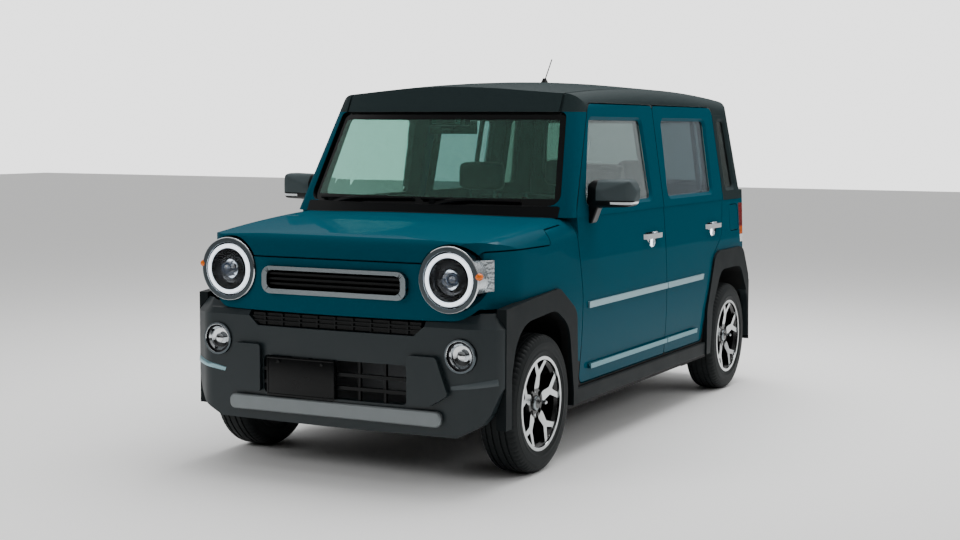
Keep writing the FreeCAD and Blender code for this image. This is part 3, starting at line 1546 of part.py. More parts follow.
mirror_shell = common("mirror_shell",
                      prism("mirror_front", "front", [
                          (735, 1076, 25),
                          (902, 1084, 34),
                          (918, 1150, 50),
                          (890, 1204, 32),
                          (700, 1198, 30),
                          (700, 1082, 20),
                      ], -720, -590),
                      prism("mirror_plan", "top", [
                          (690, -704),
                          (770, -716, 60),
                          (900, -690, 60),
                          (921, -640, 30),
                          (910, -602, 8),
                          (690, -602),
                      ], 1050, 1230),
                      prism("mirror_side", "side", [
                          (-602, 1066),
                          (-602, 1212),
                          (-684, 1204, 50),
                          (-718, 1150, 40),
                          (-706, 1090, 30),
                          (-670, 1070, 20),
                      ], 690, 930))
mirror_pocket = prism("mirror_pocket", "front", [
    (748, 1090, 16),
    (890, 1098, 20),
    (904, 1148, 34),
    (880, 1190, 20),
    (716, 1184, 20),
    (716, 1100, 16),
], -608, -590)
mirror_foot = prism("mirror_foot", "front", [
    (702, 1008),
    (720, 1008, 10),
    (748, 1080),
    (748, 1090),
    (702, 1090),
], -694, -636)
door_mirror = less("door_mirror", fused("mirror_whole", less("mirror_case_open", mirror_shell,
                   mirror_pocket), mirror_foot), lower_outside, upper_outside)

# Nodes: what each finished piece is called

node("body_shell", body_shell)
node("floor_pan", floor_pan)
node("front_structure", front_structure)
node("bonnet", bonnet)
node("nose_panel", nose_panel)
node("front_bumper", front_bumper)
node("grilles", grouped("grilles_body", grille, lower_grille, slot_grille))
node("bumper_bar", bumper_bar)
node("front_lamps", grouped("front_lamps_body", headlamps, fog_lamps))
node("front_fenders", front_fenders)
node("roof", roof)
node("quarter_panels", quarter_panels)
node("fixed_glass", fixed_glass)
node("tailgate", tailgate)
node("tailgate_glass", tail_pane)
node("tail_lamps", tail_lamps)
node("rear_bumper", rear_bumper)
node("arch_mouldings", arch_mouldings)
node("sill_covers", sill_covers)
node("fuel_lid", fuel_lid)
node("cowl", cowl)
node("aerial", fused("aerial_body", aerial_mast, aerial_foot))
node("engine_block", engine_block)
node("front_axle", front_axle)
node("rear_axle", rear_axle)
node("exhaust", exhaust)
node("fuel_tank", fuel_tank)
node("dashboard", dashboard)
node("steering_wheel", steering_wheel)
node("seat_bases", seat_bases)
node("front_seats", front_seats)
node("rear_seat", rear_seat)
node("interior_mirror", mirror_glass)
for name, left in (("front_door", front_door), ("rear_door", rear_door),
                   ("front_door_glass", front_pane), ("rear_door_glass", rear_pane),
                   ("door_mirror", door_mirror), ("knuckle", knuckle),
                   ("front_tyre", front_tyre), ("front_wheel", front_wheel),
                   ("rear_tyre", rear_tyre), ("rear_wheel", rear_wheel)):
    node(name + "_left", left)
    node(name + "_right", mirrored(name + "_other", left))

document.recompute()
faults = []
for thing in document.Objects:
    if "Invalid" in thing.State or "Error" in thing.State:
        faults.append(thing.Name + ": " + thing.getStatusString())
for name, thing in nodes.items():
    if thing.Shape.isNull() or not thing.Shape.isValid() or not thing.Shape.Solids:
        faults.append(name + " has no valid solid")
if faults:
    raise RuntimeError("; ".join(faults))
os.makedirs("parts", exist_ok=True)
for name, thing in nodes.items():
    thing.Shape.exportStep(os.path.join("parts", name + ".step"))
    print(name, [round(solid.Volume / 1e6, 3) for solid in thing.Shape.Solids])
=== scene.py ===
import bmesh
import bpy
import json
import math
from mathutils import Matrix, Vector
from mathutils.bvhtree import BVHTree

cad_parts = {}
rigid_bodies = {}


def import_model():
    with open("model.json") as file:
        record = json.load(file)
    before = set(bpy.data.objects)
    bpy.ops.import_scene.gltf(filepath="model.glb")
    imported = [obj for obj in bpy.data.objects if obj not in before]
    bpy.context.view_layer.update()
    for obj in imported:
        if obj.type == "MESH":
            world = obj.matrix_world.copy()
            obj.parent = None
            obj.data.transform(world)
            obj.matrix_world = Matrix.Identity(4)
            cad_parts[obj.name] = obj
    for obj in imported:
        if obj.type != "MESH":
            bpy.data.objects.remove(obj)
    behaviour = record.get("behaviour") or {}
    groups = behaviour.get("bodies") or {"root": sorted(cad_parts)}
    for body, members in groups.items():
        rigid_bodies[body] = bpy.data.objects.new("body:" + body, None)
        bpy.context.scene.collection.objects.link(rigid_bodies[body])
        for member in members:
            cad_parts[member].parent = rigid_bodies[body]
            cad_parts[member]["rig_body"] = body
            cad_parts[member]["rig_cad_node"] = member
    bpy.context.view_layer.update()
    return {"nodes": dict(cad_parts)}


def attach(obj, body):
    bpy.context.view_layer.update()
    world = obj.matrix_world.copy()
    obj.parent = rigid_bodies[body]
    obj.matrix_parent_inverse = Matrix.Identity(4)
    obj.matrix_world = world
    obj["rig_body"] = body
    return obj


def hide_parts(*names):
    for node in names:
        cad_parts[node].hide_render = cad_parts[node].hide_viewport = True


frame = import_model()
nodes = frame["nodes"]
SIDES = (("left", 1), ("right", -1))     # the car's left is on +X

# Camera and studio
# The car stands on a pale seamless floor, under a soft light overhead, one at its left and
# one in front. The camera has the photograph's place, turn and lens.

EYE = Vector((3.437, -7.169, 1.430))
YAW, PITCH, ROLL = -26.77, -5.13, 0.22
FOCAL_PIXELS, PHOTO_WIDTH = 1597.0, 960.0
SENSOR_MM = 36.0


def linear(code, alpha=1.0):
    """An sRGB hex colour as the linear numbers that the shaders take."""
    parts = [int(code[i:i + 2], 16) / 255 for i in (1, 3, 5)]
    return [p / 12.92 if p <= 0.04045 else ((p + 0.055) / 1.055) ** 2.4 for p in parts] + [alpha]


def add_node(tree, kind, settings=None, **links):
    """Adds a node, sets its properties, and links or sets each named input."""
    made = tree.nodes.new(kind)
    for name, value in (settings or {}).items():
        setattr(made, name, value)
    for name, value in links.items():
        socket = made.inputs[int(name[1:]) if name[0] == "i" and name[1:].isdigit()
                             else name.replace("_", " ")]
        if isinstance(value, bpy.types.NodeSocket):
            tree.links.new(value, socket)
        else:
            socket.default_value = value
    return made


def material(name, **sockets):
    """A new surface: the material, its shader tree and the Principled shader in it."""
    made = bpy.data.materials.new(name)
    made.use_nodes = True
    shader = made.node_tree.nodes["Principled BSDF"]
    for socket, value in sockets.items():
        shader.inputs[socket.replace("_", " ")].default_value = value
    return made, made.node_tree, shader


def plain(name, colour, roughness, metallic=0.0, **sockets):
    """A surface of one colour."""
    return material(name, Base_Color=linear(colour), Roughness=roughness, Metallic=metallic,
                    **sockets)[0]


def glass(name, colour, roughness=0.01, bend=1.45):
    """A clear or tinted pane."""
    return plain(name, colour, roughness, IOR=bend, Transmission_Weight=1.0)


def pattern(tree, kind, settings=None, **links):
    """A texture laid out in the piece's own space."""
    place = add_node(tree, "ShaderNodeTexCoord")
    return add_node(tree, kind, settings, Vector=place.outputs["Object"], **links)


def tinted(tree, shader, share, one, two):
    """Colours a surface between two tones, by a share."""
    mix = add_node(tree, "ShaderNodeMix", {"data_type": "RGBA"}, Factor=share, A=linear(one),
                   B=linear(two))
    tree.links.new(mix.outputs["Result"], shader.inputs["Base Color"])


def roughened(tree, shader, share, low, high):
    """Varies a surface's roughness between two values, by a share."""
    spread = add_node(tree, "ShaderNodeMapRange", Value=share, To_Min=low, To_Max=high)
    tree.links.new(spread.outputs["Result"], shader.inputs["Roughness"])


def bumped(tree, shader, height, strength, distance, socket="Normal"):
    """Gives a surface's shading a relief."""
    relief = add_node(tree, "ShaderNodeBump", Strength=strength, Distance=distance, Height=height)
    tree.links.new(relief.outputs["Normal"], shader.inputs[socket])


camera = bpy.data.objects.new("camera", bpy.data.cameras.new("camera"))
bpy.context.scene.collection.objects.link(camera)
camera.data.sensor_width = SENSOR_MM
camera.data.lens = FOCAL_PIXELS / PHOTO_WIDTH * SENSOR_MM
camera.data.clip_end = 100
yaw, pitch, roll = (math.radians(angle) for angle in (YAW, PITCH, ROLL))
ahead = Vector((math.sin(yaw) * math.cos(pitch), math.cos(yaw) * math.cos(pitch), math.sin(pitch)))
level_right = Vector((math.cos(yaw), -math.sin(yaw), 0))
level_up = level_right.cross(ahead)
right = level_right * math.cos(roll) + level_up * math.sin(roll)
up = level_up * math.cos(roll) - level_right * math.sin(roll)
camera.matrix_world = Matrix.Translation(EYE) @ Matrix((right, up, -ahead)).transposed().to_4x4()
bpy.context.scene.camera = camera

FLOOR_SIZE = 60.0
bpy.ops.mesh.primitive_plane_add(size=FLOOR_SIZE, location=(0, 0, 0))
floor = bpy.context.object
floor.name = "floor"
floor_paint, tree, shader = material("matt studio floor paint", Roughness=0.7)
cloud = add_node(tree, "ShaderNodeTexNoise", Scale=0.6, Detail=3.0)
tinted(tree, shader, cloud.outputs["Fac"], "#f4f4f3", "#fafaf9")
floor.data.materials.append(floor_paint)

# the studio's walls: dim at the horizon, and a soft ceiling that is brighter over the tail
WALL_GLOW, CEILING_GLOW, BACKDROP_GLOW = 0.10, 1.25, 2.4
FRONT_SHARE = 0.16
world = bpy.data.worlds.new("studio")
bpy.context.scene.world = world
world.use_nodes = True
tree = world.node_tree
sky = add_node(tree, "ShaderNodeTexCoord")
height = add_node(tree, "ShaderNodeSeparateXYZ", Vector=sky.outputs["Generated"])
glow = add_node(tree, "ShaderNodeMapRange", {"interpolation_type": "SMOOTHSTEP"},
                Value=height.outputs["Z"], From_Min=0.04, From_Max=0.55, To_Min=WALL_GLOW,
                To_Max=CEILING_GLOW)
aft = add_node(tree, "ShaderNodeMapRange", {"interpolation_type": "SMOOTHSTEP"},
               Value=height.outputs["Y"], From_Min=-0.45, From_Max=0.45, To_Min=FRONT_SHARE,
               To_Max=1.0)
shared = add_node(tree, "ShaderNodeMath", {"operation": "MULTIPLY"}, i0=glow.outputs["Result"],
                  i1=aft.outputs["Result"])
walls = add_node(tree, "ShaderNodeBackground", Color=linear("#ffffff"),
                 Strength=shared.outputs["Value"])
backdrop = add_node(tree, "ShaderNodeBackground", Color=linear("#ffffff"),
                    Strength=BACKDROP_GLOW)
# the pale backdrop is what shows round the car and through its glass
ray = add_node(tree, "ShaderNodeLightPath")
seen = add_node(tree, "ShaderNodeMath", {"operation": "MAXIMUM"},
                i0=ray.outputs["Is Camera Ray"], i1=ray.outputs["Is Transmission Ray"])
either = add_node(tree, "ShaderNodeMixShader", Fac=seen.outputs["Value"],
                  i1=walls.outputs["Background"], i2=backdrop.outputs["Background"])
tree.links.new(either.outputs["Shader"], tree.nodes["World Output"].inputs["Surface"])


def soft_light(name, spot, aim, width, height, power):
    """A rectangular soft light at a spot, turned to its aim."""
    light = bpy.data.objects.new(name, bpy.data.lights.new(name, "AREA"))
    light.data.shape = "RECTANGLE"
    light.data.size, light.data.size_y = width, height
    light.data.energy = power
    light.location = spot
    light.rotation_mode = "QUATERNION"
    light.rotation_quaternion = (Vector(aim) - Vector(spot)).to_track_quat("-Z", "Y")
    bpy.context.scene.collection.objects.link(light)
    return light


soft_light("overhead", (0.2, 1.2, 4.8), (0.1, 0.4, 0.6), 4.6, 4.6, 330)
soft_light("side_bank", (5.4, 0.6, 3.2), (0, 0.2, 0.7), 6.5, 1.2, 60).visible_glossy = False
soft_light("front_bank", (-2.6, -5.6, 3.4), (0, -1.2, 0.7), 4.0, 2.0, 110).visible_glossy = False

# Painted panels
# Pressed steel panels in dark teal metallic paint under clear lacquer: body shell, bonnet,
# nose, wings, doors, tailgate and fuel lid. Their edges are folded over, so every seam
# catches a thin line of light.

PAINT_TEAL = "#003f4e"
PAINT_FLAKE = "#08606f"
FLAKE_MM = 1.1      # real flakes are far finer; this is as fine as the picture can show
PEEL_MM = 9.0
FOLD = 0.0022
AXLES = (-1.220, 1.240)
HUB_Z = 0.2895
ARCH_REACH, ARCH_LIP = 0.372, 0.10
ARCH_X, ARCH_LIP_X = 0.722, 0.733
UNDERSIDE_Z, SILL_Z = 0.45, 0.36
TAIL_FOOT_Z, TAIL_Y = 0.40, 1.5


def flake_paint(name, base, flake, flake_share):
    """Metallic paint: flakes in a tinted coat, with lacquer over them."""
    made, tree, shader = material(name, Metallic=0.10, Roughness=0.42, Specular_IOR_Level=0.0,
                                  Coat_Weight=0.15, Coat_Roughness=0.03, Coat_IOR=1.3)
    cells = pattern(tree, "ShaderNodeTexVoronoi", Scale=1000 / FLAKE_MM)
    ramp = add_node(tree, "ShaderNodeMapRange", Value=cells.outputs["Distance"], From_Min=0.1,
                    From_Max=0.6, To_Min=flake_share, To_Max=0.0)
    tinted(tree, shader, ramp.outputs["Result"], base, flake)
    # orange peel: the slow waves of sprayed lacquer
    peel = pattern(tree, "ShaderNodeTexNoise", Scale=1000 / PEEL_MM)
    bumped(tree, shader, peel.outputs["Fac"], 0.02, 0.0004, "Coat Normal")
    return made


def grained_plastic(name, colour, roughness, grain_mm=1.6, depth=0.00012, gloss=0.2):
    """Moulded plastic with a fine eroded grain and slow changes of gloss."""
    made, tree, shader = material(name, Base_Color=linear(colour), Specular_IOR_Level=gloss)
    grain = pattern(tree, "ShaderNodeTexVoronoi", {"feature": "SMOOTH_F1"}, Scale=1000 / grain_mm)
    wear = pattern(tree, "ShaderNodeTexNoise", Scale=9.0, Detail=4.0)
    roughened(tree, shader, wear.outputs["Fac"], roughness - 0.05, roughness + 0.08)
    bumped(tree, shader, grain.outputs["Distance"], 0.35, depth)
    return made


def mark_seams(form, degrees):
    """Shades a form smooth, apart from the edges that turn by more than some degrees."""
    for face in form.faces:
        face.smooth = True
    for edge in form.edges:
        edge.smooth = len(edge.link_faces) == 2 and edge.calc_face_angle(0) < math.radians(degrees)


def settle(piece):
    """Makes what a piece's modifiers do part of its mesh."""
    graph = bpy.context.evaluated_depsgraph_get()
    settled = bpy.data.meshes.new_from_object(piece.evaluated_get(graph))
    piece.modifiers.clear()
    piece.data = settled


def level(*heights):
    """Planes that score a piece at some heights."""
    return [((0, 0, z), (0, 0, 1)) for z in heights]


def dressed(node, surface, edge=FOLD, seam_degrees=28, cuts=(), merge=True):
    """A copy of a CAD piece in its finish, with rounded edges, scored along some planes."""
    piece = nodes[node].copy()
    piece.data = nodes[node].data.copy()
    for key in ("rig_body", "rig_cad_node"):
        if key in piece:
            del piece[key]
    piece.parent = None
    piece.name = node + "_skin"
    bpy.context.scene.collection.objects.link(piece)
    form = bmesh.new()
    form.from_mesh(piece.data)
    bmesh.ops.remove_doubles(form, verts=form.verts, dist=1e-5)
    if merge:
        bmesh.ops.dissolve_limit(form, angle_limit=math.radians(0.05), verts=form.verts,
                                 edges=form.edges)
    for spot, normal in cuts:
        bmesh.ops.bisect_plane(form, geom=form.verts[:] + form.edges[:] + form.faces[:],
                               dist=1e-5, plane_co=spot, plane_no=normal)
    mark_seams(form, seam_degrees)
    form.to_mesh(piece.data)
    form.free()
    piece.data.materials.clear()
    piece.data.materials.append(surface)
    if edge:
        bevel = piece.modifiers.new("folded_edges", "BEVEL")
        bevel.width = edge
        bevel.segments = 2
        bevel.limit_method = "ANGLE"
        bevel.angle_limit = math.radians(seam_degrees)
        evened = piece.modifiers.new("evened_shading", "WEIGHTED_NORMAL")
        evened.keep_sharp = True
        settle(piece)
    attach(piece, nodes[node]["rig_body"])
    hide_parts(node)
    return piece


def zone(piece, surface, rule):
    """Gives another finish to the faces whose middle and normal a rule picks."""
    piece.data.materials.append(surface)
    index = len(piece.data.materials) - 1
    for face in piece.data.polygons:
        if rule(face.center, face.normal):
            face.material_index = index
    piece.data.update()


def in_arch(c, n):
    """Inside a wheel arch: near an axle's line, or facing it from a little further off."""
    for axle_y in AXLES:
        away = Vector((0, c.y - axle_y, c.z - HUB_Z))
        if abs(c.x) < ARCH_X and away.length < ARCH_REACH:
            return True
        if (abs(c.x) < ARCH_LIP_X and away.length < ARCH_REACH + ARCH_LIP
                and n.dot(away.normalized()) < -0.3):
            return True
    return False


def hidden_low(c, n):
    """In an arch or under the body, where the stone-chip coating goes."""
    return (in_arch(c, n) or (n.z < -0.5 and c.z < UNDERSIDE_Z) or (c.z < SILL_Z and n.z < 0.5)
            or (c.z < TAIL_FOOT_Z and c.y > TAIL_Y))


teal = flake_paint("teal metallic paint under lacquer", PAINT_TEAL, PAINT_FLAKE, 0.5)
underbody = grained_plastic("black stone-chip coating", "#0b0c0d", 0.6, grain_mm=3)
trim = grained_plastic("dark grey door card vinyl", "#191b1c", 0.55)
rubber_seal = plain("extruded EPDM seal", "#0a0b0b", 0.55)
for node in ("body_shell", "bonnet", "nose_panel", "front_fenders", "tailgate", "fuel_lid"):
    skin = dressed(node, teal)
    zone(skin, underbody, hidden_low)
    if node in ("body_shell", "front_fenders"):
        zone(skin, underbody, lambda c, n: n.x * c.x < -0.3 * abs(c.x) and abs(c.x) < 0.735)
    if node == "tailgate":
        zone(skin, trim, lambda c, n: n.y < -0.3)
        zone(skin, rubber_seal, lambda c, n: 1.09 < c.z < 1.5 and abs(c.x) < 0.56
             and abs(n.y) < 0.6)

# Doors
# Each door is a pressed skin over its frame, with a dark vinyl card inside and a rubber
# seal round the window; that black also covers the frame's edges above the belt, as painted
# shade in the shut lines. The pull handle is chromed over a chromed cup. Two body-coloured
# ridges run along the skin. The middle one is drawn in satin silver and the one at its foot
# in a paler teal, both as painted highlights.

BELT_Z = 1.07
PULLS = {"front": 0.068, "rear": 0.975}
MOULDING_X = 0.7275
MIDDLE_LOW, MIDDLE_HIGH = 0.638, 0.670      # heights of the middle ridge, painted silver as a highlight
FOOT_LOW, FOOT_HIGH = 0.370, 0.400          # heights of the foot ridge, painted pale teal as a highlight
SCORE = 0.0005                              # how far inside the middle ridge the skin is scored
CUP_REACH, CUP_LOW, CUP_HIGH = 0.088, 0.854, 0.932
CUP_INNER_X, CUP_OUTER_X = 0.690, 0.7135
GRIP_REACH, GRIP_LOW, GRIP_HIGH, GRIP_X = 0.113, 0.896, 0.922, 0.7125
chrome = plain("bright chrome plate", "#dfe3e6", 0.07, 1.0)
satin_chrome = plain("satin chrome plate", "#8f979b", 0.24, 1.0)
# painted highlights: the two ridge colours stand in for light along body-coloured ridges
highlight_silver = plain("satin silver painted highlight", "#8fb3bc", 0.3, 0.6)
highlight_teal = plain("pale teal painted highlight", "#4f8691", 0.32, 0.5)
for end, pull in PULLS.items():
    for side, sign in SIDES:
        door = dressed(end + "_door_" + side, teal, merge=False,
                       cuts=level(MIDDLE_LOW + SCORE, MIDDLE_HIGH - SCORE))
        zone(door, underbody, in_arch)
        zone(door, trim, lambda c, n: n.x * sign < -0.3)
        # rubber seal round the window; the same black on the frame's outer edges is painted shade
        # in the shut lines
        zone(door, rubber_seal, lambda c, n: c.z > BELT_Z and abs(n.x) < 0.5)
        # painted highlight: the body-coloured middle ridge drawn in satin silver
        zone(door, highlight_silver, lambda c, n: MIDDLE_LOW < c.z < MIDDLE_HIGH
             and c.x * sign > MOULDING_X)
        # painted highlight: the body-coloured foot ridge drawn in a paler teal
        zone(door, highlight_teal, lambda c, n: FOOT_LOW < c.z < FOOT_HIGH
             and c.x * sign > MOULDING_X)
        zone(door, chrome, lambda c, n: abs(c.y - pull) < CUP_REACH and CUP_LOW < c.z < CUP_HIGH
             and CUP_INNER_X < c.x * sign < CUP_OUTER_X)
        zone(door, chrome, lambda c, n: abs(c.y - pull) < GRIP_REACH
             and GRIP_LOW < c.z < GRIP_HIGH and c.x * sign > GRIP_X)

# Dark roof
# The roof and the panels beside the rear quarter windows are in a near-black metallic
# paint. A rubber strip fills each ditch, and a pale knitted cloth lines the roof inside.

DITCH_X = 0.550
gunmetal = flake_paint("gunmetal metallic paint under lacquer", "#222c2e", "#59635f", 0.25)
headlining = plain("knitted headlining cloth", "#6f706c", 0.9, Sheen_Weight=0.2)
roof = dressed("roof", gunmetal)
zone(roof, headlining, lambda c, n: n.z < -0.3)
zone(roof, rubber_seal, lambda c, n: abs(abs(c.x) - DITCH_X) < 0.0055 and c.z > 1.6
     and (abs(n.x) > 0.5 or abs(abs(c.x) - DITCH_X) < 0.004))
quarters = dressed("quarter_panels", gunmetal)
zone(quarters, rubber_seal, lambda c, n: c.z > BELT_Z and abs(n.x) < 0.4 and abs(n.y) > 0.5)

# Moulded bumpers, arches and sills
# Injection-moulded polypropylene, dark grey with a fine leather grain that scatters light.
# The arches and sills are blacker, with a coarser grain.

moulded = grained_plastic("grained polypropylene", "#1d2629", 0.36, gloss=0.4)
side_moulded = grained_plastic("coarse grained polypropylene", "#12181a", 0.5, grain_mm=2.0,
                               gloss=0.1)
smooth_grey = grained_plastic("smooth satin polypropylene", "#4a5154", 0.22, depth=0.00003)
for node in ("front_bumper", "rear_bumper", "arch_mouldings", "sill_covers"):
    skin = dressed(node, moulded if "bumper" in node else side_moulded, edge=0.006)
    zone(skin, underbody, lambda c, n: in_arch(c, n) and abs(c.x) < 0.70)
    if node == "front_bumper":
        zone(skin, underbody, lambda c, n: n.y > 0.6 or (n.z < -0.7 and c.z < 0.3))

# Grilles, cowl and aerial
# Satin black ABS. The upper grille has a chromed surround over black bars; the slot above
# the bumper and the lower grille are black, and so are the cowl and the aerial's rod.

GRILLE_LOW, GRILLE_HIGH, GRILLE_Y = 0.738, 0.857, -1.655
BARS_LOW, BARS_HIGH, BARS_HALF = 0.759, 0.839, 0.319
satin_black = grained_plastic("satin black ABS", "#0b0d0e", 0.3, depth=0.00004)
for node in ("cowl", "aerial", "fuel_tank"):
    dressed(node, satin_black)
grille = dressed("grilles", satin_black, edge=0.0012, merge=False)
zone(grille, satin_chrome, lambda c, n: GRILLE_LOW < c.z < GRILLE_HIGH and c.y < GRILLE_Y
     and (abs(c.x) > BARS_HALF or c.z > BARS_HIGH or c.z < BARS_LOW))

# Number plates
# A blank pressed plate, 330 by 165 mm and painted black, in a thin rim, on the bracket in
# front of the lower grille and on the tailgate's pad. Two capped screws hold each.

PLATE_HALF = (0.165, 0.0825)
PLATE_THICK = 0.004


def new_piece(name, form, surface, node, seam_degrees=32):
    """A mesh piece from a form, in its finish, on the body that a CAD node belongs to."""
    bmesh.ops.recalc_face_normals(form, faces=form.faces)
    mark_seams(form, seam_degrees)
    mesh = bpy.data.meshes.new(name)
    form.to_mesh(mesh)
    form.free()
    mesh.materials.append(surface)
    piece = bpy.data.objects.new(name, mesh)
    bpy.context.scene.collection.objects.link(piece)
    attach(piece, nodes[node]["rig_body"])
    return piece


def add_block(form, low, high, edge=0.002, turn=None, about=(0, 0, 0), segments=2):
    """Adds a block with rounded edges between two corners, turned about a point."""
    start = len(form.verts)
    made = bmesh.ops.create_cube(form, size=1.0)["verts"]
    middle = [(a + b) / 2 for a, b in zip(low, high)]
    for vert in made:
        vert.co = Vector([m + v * (b - a) for m, v, a, b in zip(middle, vert.co, low, high)])
    edges = list({e for vert in made for e in vert.link_edges})
    if edge:
        bmesh.ops.bevel(form, geom=edges, offset=edge, segments=segments, profile=0.6,
                        affect="EDGES")
    form.verts.ensure_lookup_table()
    if turn is not None:
        pivot = Vector(about)
        for vert in form.verts[start:]:
            vert.co = pivot + turn @ (vert.co - pivot)


def add_turned(form, profile, middle, axis="y", steps=32):
    """Adds a closed form turned about an axis, from points of (distance along, radius)."""
    middle = Vector(middle)
    rings = []
    for along, radius in profile:
        ring = []
        for step in range(steps if radius > 1e-6 else 1):
            a = 2 * math.pi * step / steps
            u, v = radius * math.cos(a), radius * math.sin(a)
            spot = {"x": (along, u, v), "y": (u, along, v), "z": (u, v, along)}[axis]
            ring.append(form.verts.new(middle + Vector(spot)))
        rings.append(ring)
    for one, two in zip(rings, rings[1:]):
        for step in range(steps):
            following = (step + 1) % steps
            corners = [one[step % len(one)], one[following % len(one)],
                       two[following % len(two)], two[step % len(two)]]
            corners = list(dict.fromkeys(corners))
            if len(corners) > 2:
                form.faces.new(corners)
    return rings


plate_black = grained_plastic("black stove enamel", "#040506", 0.25, depth=0.00002)
# each bar of the rim: low x and z, high x and z
RIM_BARS = ((-0.161, 0.073, 0.161, 0.079), (-0.161, -0.079, 0.161, -0.073),
            (-0.161, -0.0725, -0.155, 0.0725), (0.155, -0.0725, 0.161, 0.0725))
SCREW_X, SCREW_Z = 0.105, 0.062


def number_plate(name, x, y, z, facing, node):
    """A blank plate at a place, facing along y."""
    form = bmesh.new()
    back, front = sorted((y, y + facing * PLATE_THICK))
    add_block(form, (x - PLATE_HALF[0], back, z - PLATE_HALF[1]),
              (x + PLATE_HALF[0], front, z + PLATE_HALF[1]), 0.0016)
    back, front = sorted((y + facing * 0.002, y + facing * (PLATE_THICK + 0.0012)))
    for low_x, low_z, high_x, high_z in RIM_BARS:
        add_block(form, (x + low_x, back, z + low_z), (x + high_x, front, z + high_z), 0.0008)
    new_piece(name, form, plate_black, node)
    screws = bmesh.new()
    for across in (-SCREW_X, SCREW_X):
        add_turned(screws, [(0, 0), (0, 0.009), (facing * 0.003, 0.0085),
                            (facing * 0.0055, 0.006), (facing * 0.006, 0)],
                   (x + across, y + facing * PLATE_THICK, z + SCREW_Z), "y", 20)
    new_piece(name + "_screws", screws, plate_black, node)


number_plate("front_plate", -0.150, -1.6945, 0.398, -1, "grilles")
number_plate("rear_plate", 0.0, 1.6305, 0.758, 1, "tailgate")

# Skid bar
# An injection-moulded bar along the foot of the front bumper, painted silver.

silver, tree, shader = material("silver painted ABS", Metallic=0.55)
flow = pattern(tree, "ShaderNodeTexNoise", Scale=14.0, Detail=3.0)
tinted(tree, shader, flow.outputs["Fac"], "#73797b", "#82888a")
roughened(tree, shader, flow.outputs["Fac"], 0.3, 0.42)
dressed("bumper_bar", silver, edge=0.006)

# Head, fog and indicator lamps
# Each headlamp is a dark chromed bezel, a white light ring and a black bowl with a
# projector, behind a clear domed lens. The fog lamp is a chromed bowl and bulb. The
# indicator is a clear moulding over an amber bulb.

LAMP_X, LAMP_Z, LAMP_R, LAMP_Y = 0.5235, 0.830, 0.134, -1.672
FOG_X, FOG_Z, FOG_R = 0.578, 0.533, 0.070
LENS_R = LAMP_R * 0.815
INDICATOR_Z, INDICATOR_HALF = 0.845, 0.060
BULB_X, BULB_Z = 0.655, 0.848
FACET_MM = 14


def from_head(c):
    """How far a point lies from a headlamp's middle, as a share of its radius."""
    return math.hypot(abs(c.x) - LAMP_X, c.z - LAMP_Z) / LAMP_R


def from_fog(c):
    """How far a point lies from a fog lamp's middle, as a share of its radius."""
    return math.hypot(abs(c.x) - FOG_X, c.z - FOG_Z) / FOG_R


dark_chrome = plain("smoked chrome plate", "#555c60", 0.16, 1.0)
light_ring = plain("white acrylic light guide", "#f2f6f8", 0.25,
                   Emission_Color=linear("#e8f2ff"), Emission_Strength=1.3)
bowl_black = plain("black metallised bowl", "#0b0e14", 0.16, 0.6)
clear_lens = glass("clear polycarbonate lens", "#fbfdfe", 0.02, 1.18)
amber = plain("amber lacquered bulb", "#d9660c", 0.2, Emission_Color=linear("#e0700e"),
              Emission_Strength=0.12)
projector_glass = plain("projector lens glass", "#0d2036", 0.03, Coat_Weight=1.0,
                        Coat_Roughness=0.02)
faceted, tree, shader = material("faceted reflector under a clear cover", Metallic=0.75,
                                 Base_Color=linear("#b4bdc2"), Roughness=0.14, Coat_Weight=1.0,
                                 Coat_Roughness=0.02)
facets = pattern(tree, "ShaderNodeTexVoronoi", {"distance": "MANHATTAN"}, Scale=1000 / FACET_MM)
bumped(tree, shader, facets.outputs["Distance"], 0.35, 0.002)
lamps = dressed("front_lamps", faceted, edge=0.0008, merge=False)
for surface, rule in (
        (dark_chrome, lambda c, n: from_head(c) < 1.01),
        (faceted, lambda c, n: abs(c.x) > LAMP_X + 0.06
         and abs(c.z - INDICATOR_Z) < INDICATOR_HALF and from_head(c) > 0.985),
        (chrome, lambda c, n: 0.965 < from_head(c) < 0.998 and c.y < LAMP_Y + 0.006
         and n.y < -0.2),
        (bowl_black, lambda c, n: from_head(c) < 0.835 and c.y < -1.6),
        (light_ring, lambda c, n: 0.690 < from_head(c) < 0.776 and n.y < -0.5 and c.y < -1.66),
        (projector_glass, lambda c, n: from_head(c) < 0.24 and n.y < -0.4),
        (chrome, lambda c, n: 0.24 < from_head(c) < 0.31 and c.y < -1.6),
        (dark_chrome, lambda c, n: from_fog(c) < 1.01),
        (chrome, lambda c, n: from_fog(c) < 0.865),
        (bowl_black, lambda c, n: 0.70 < from_fog(c) < 0.84 and c.y < -1.62)):
    zone(lamps, surface, rule)


def surface_of(node):
    """A tree of a CAD node's faces, to find where a line meets it."""
    form = bmesh.new()
    form.from_mesh(nodes[node].data)
    found = BVHTree.FromBMesh(form)
    form.free()
    return found


def met(tree, x, z, start_y=-2.0):
    """Where a line along y, from outside the car, first meets a tree's faces."""
    return tree.ray_cast(Vector((x, start_y, z)), Vector((0, -math.copysign(1, start_y), 0)))[0]


def turned_piece(name, profile, middle, surface, node, steps):
    """A piece turned about an axis along y."""
    form = bmesh.new()
    add_turned(form, profile, middle, "y", steps)
    return new_piece(name, form, surface, node)


def bead(long, wide, turn, steps):
    """The profile of a rounded bulb, from its tip back."""
    return [(-long * math.cos(turn * k / steps), wide * math.sin(turn * k / steps))
            for k in range(steps + 1)]


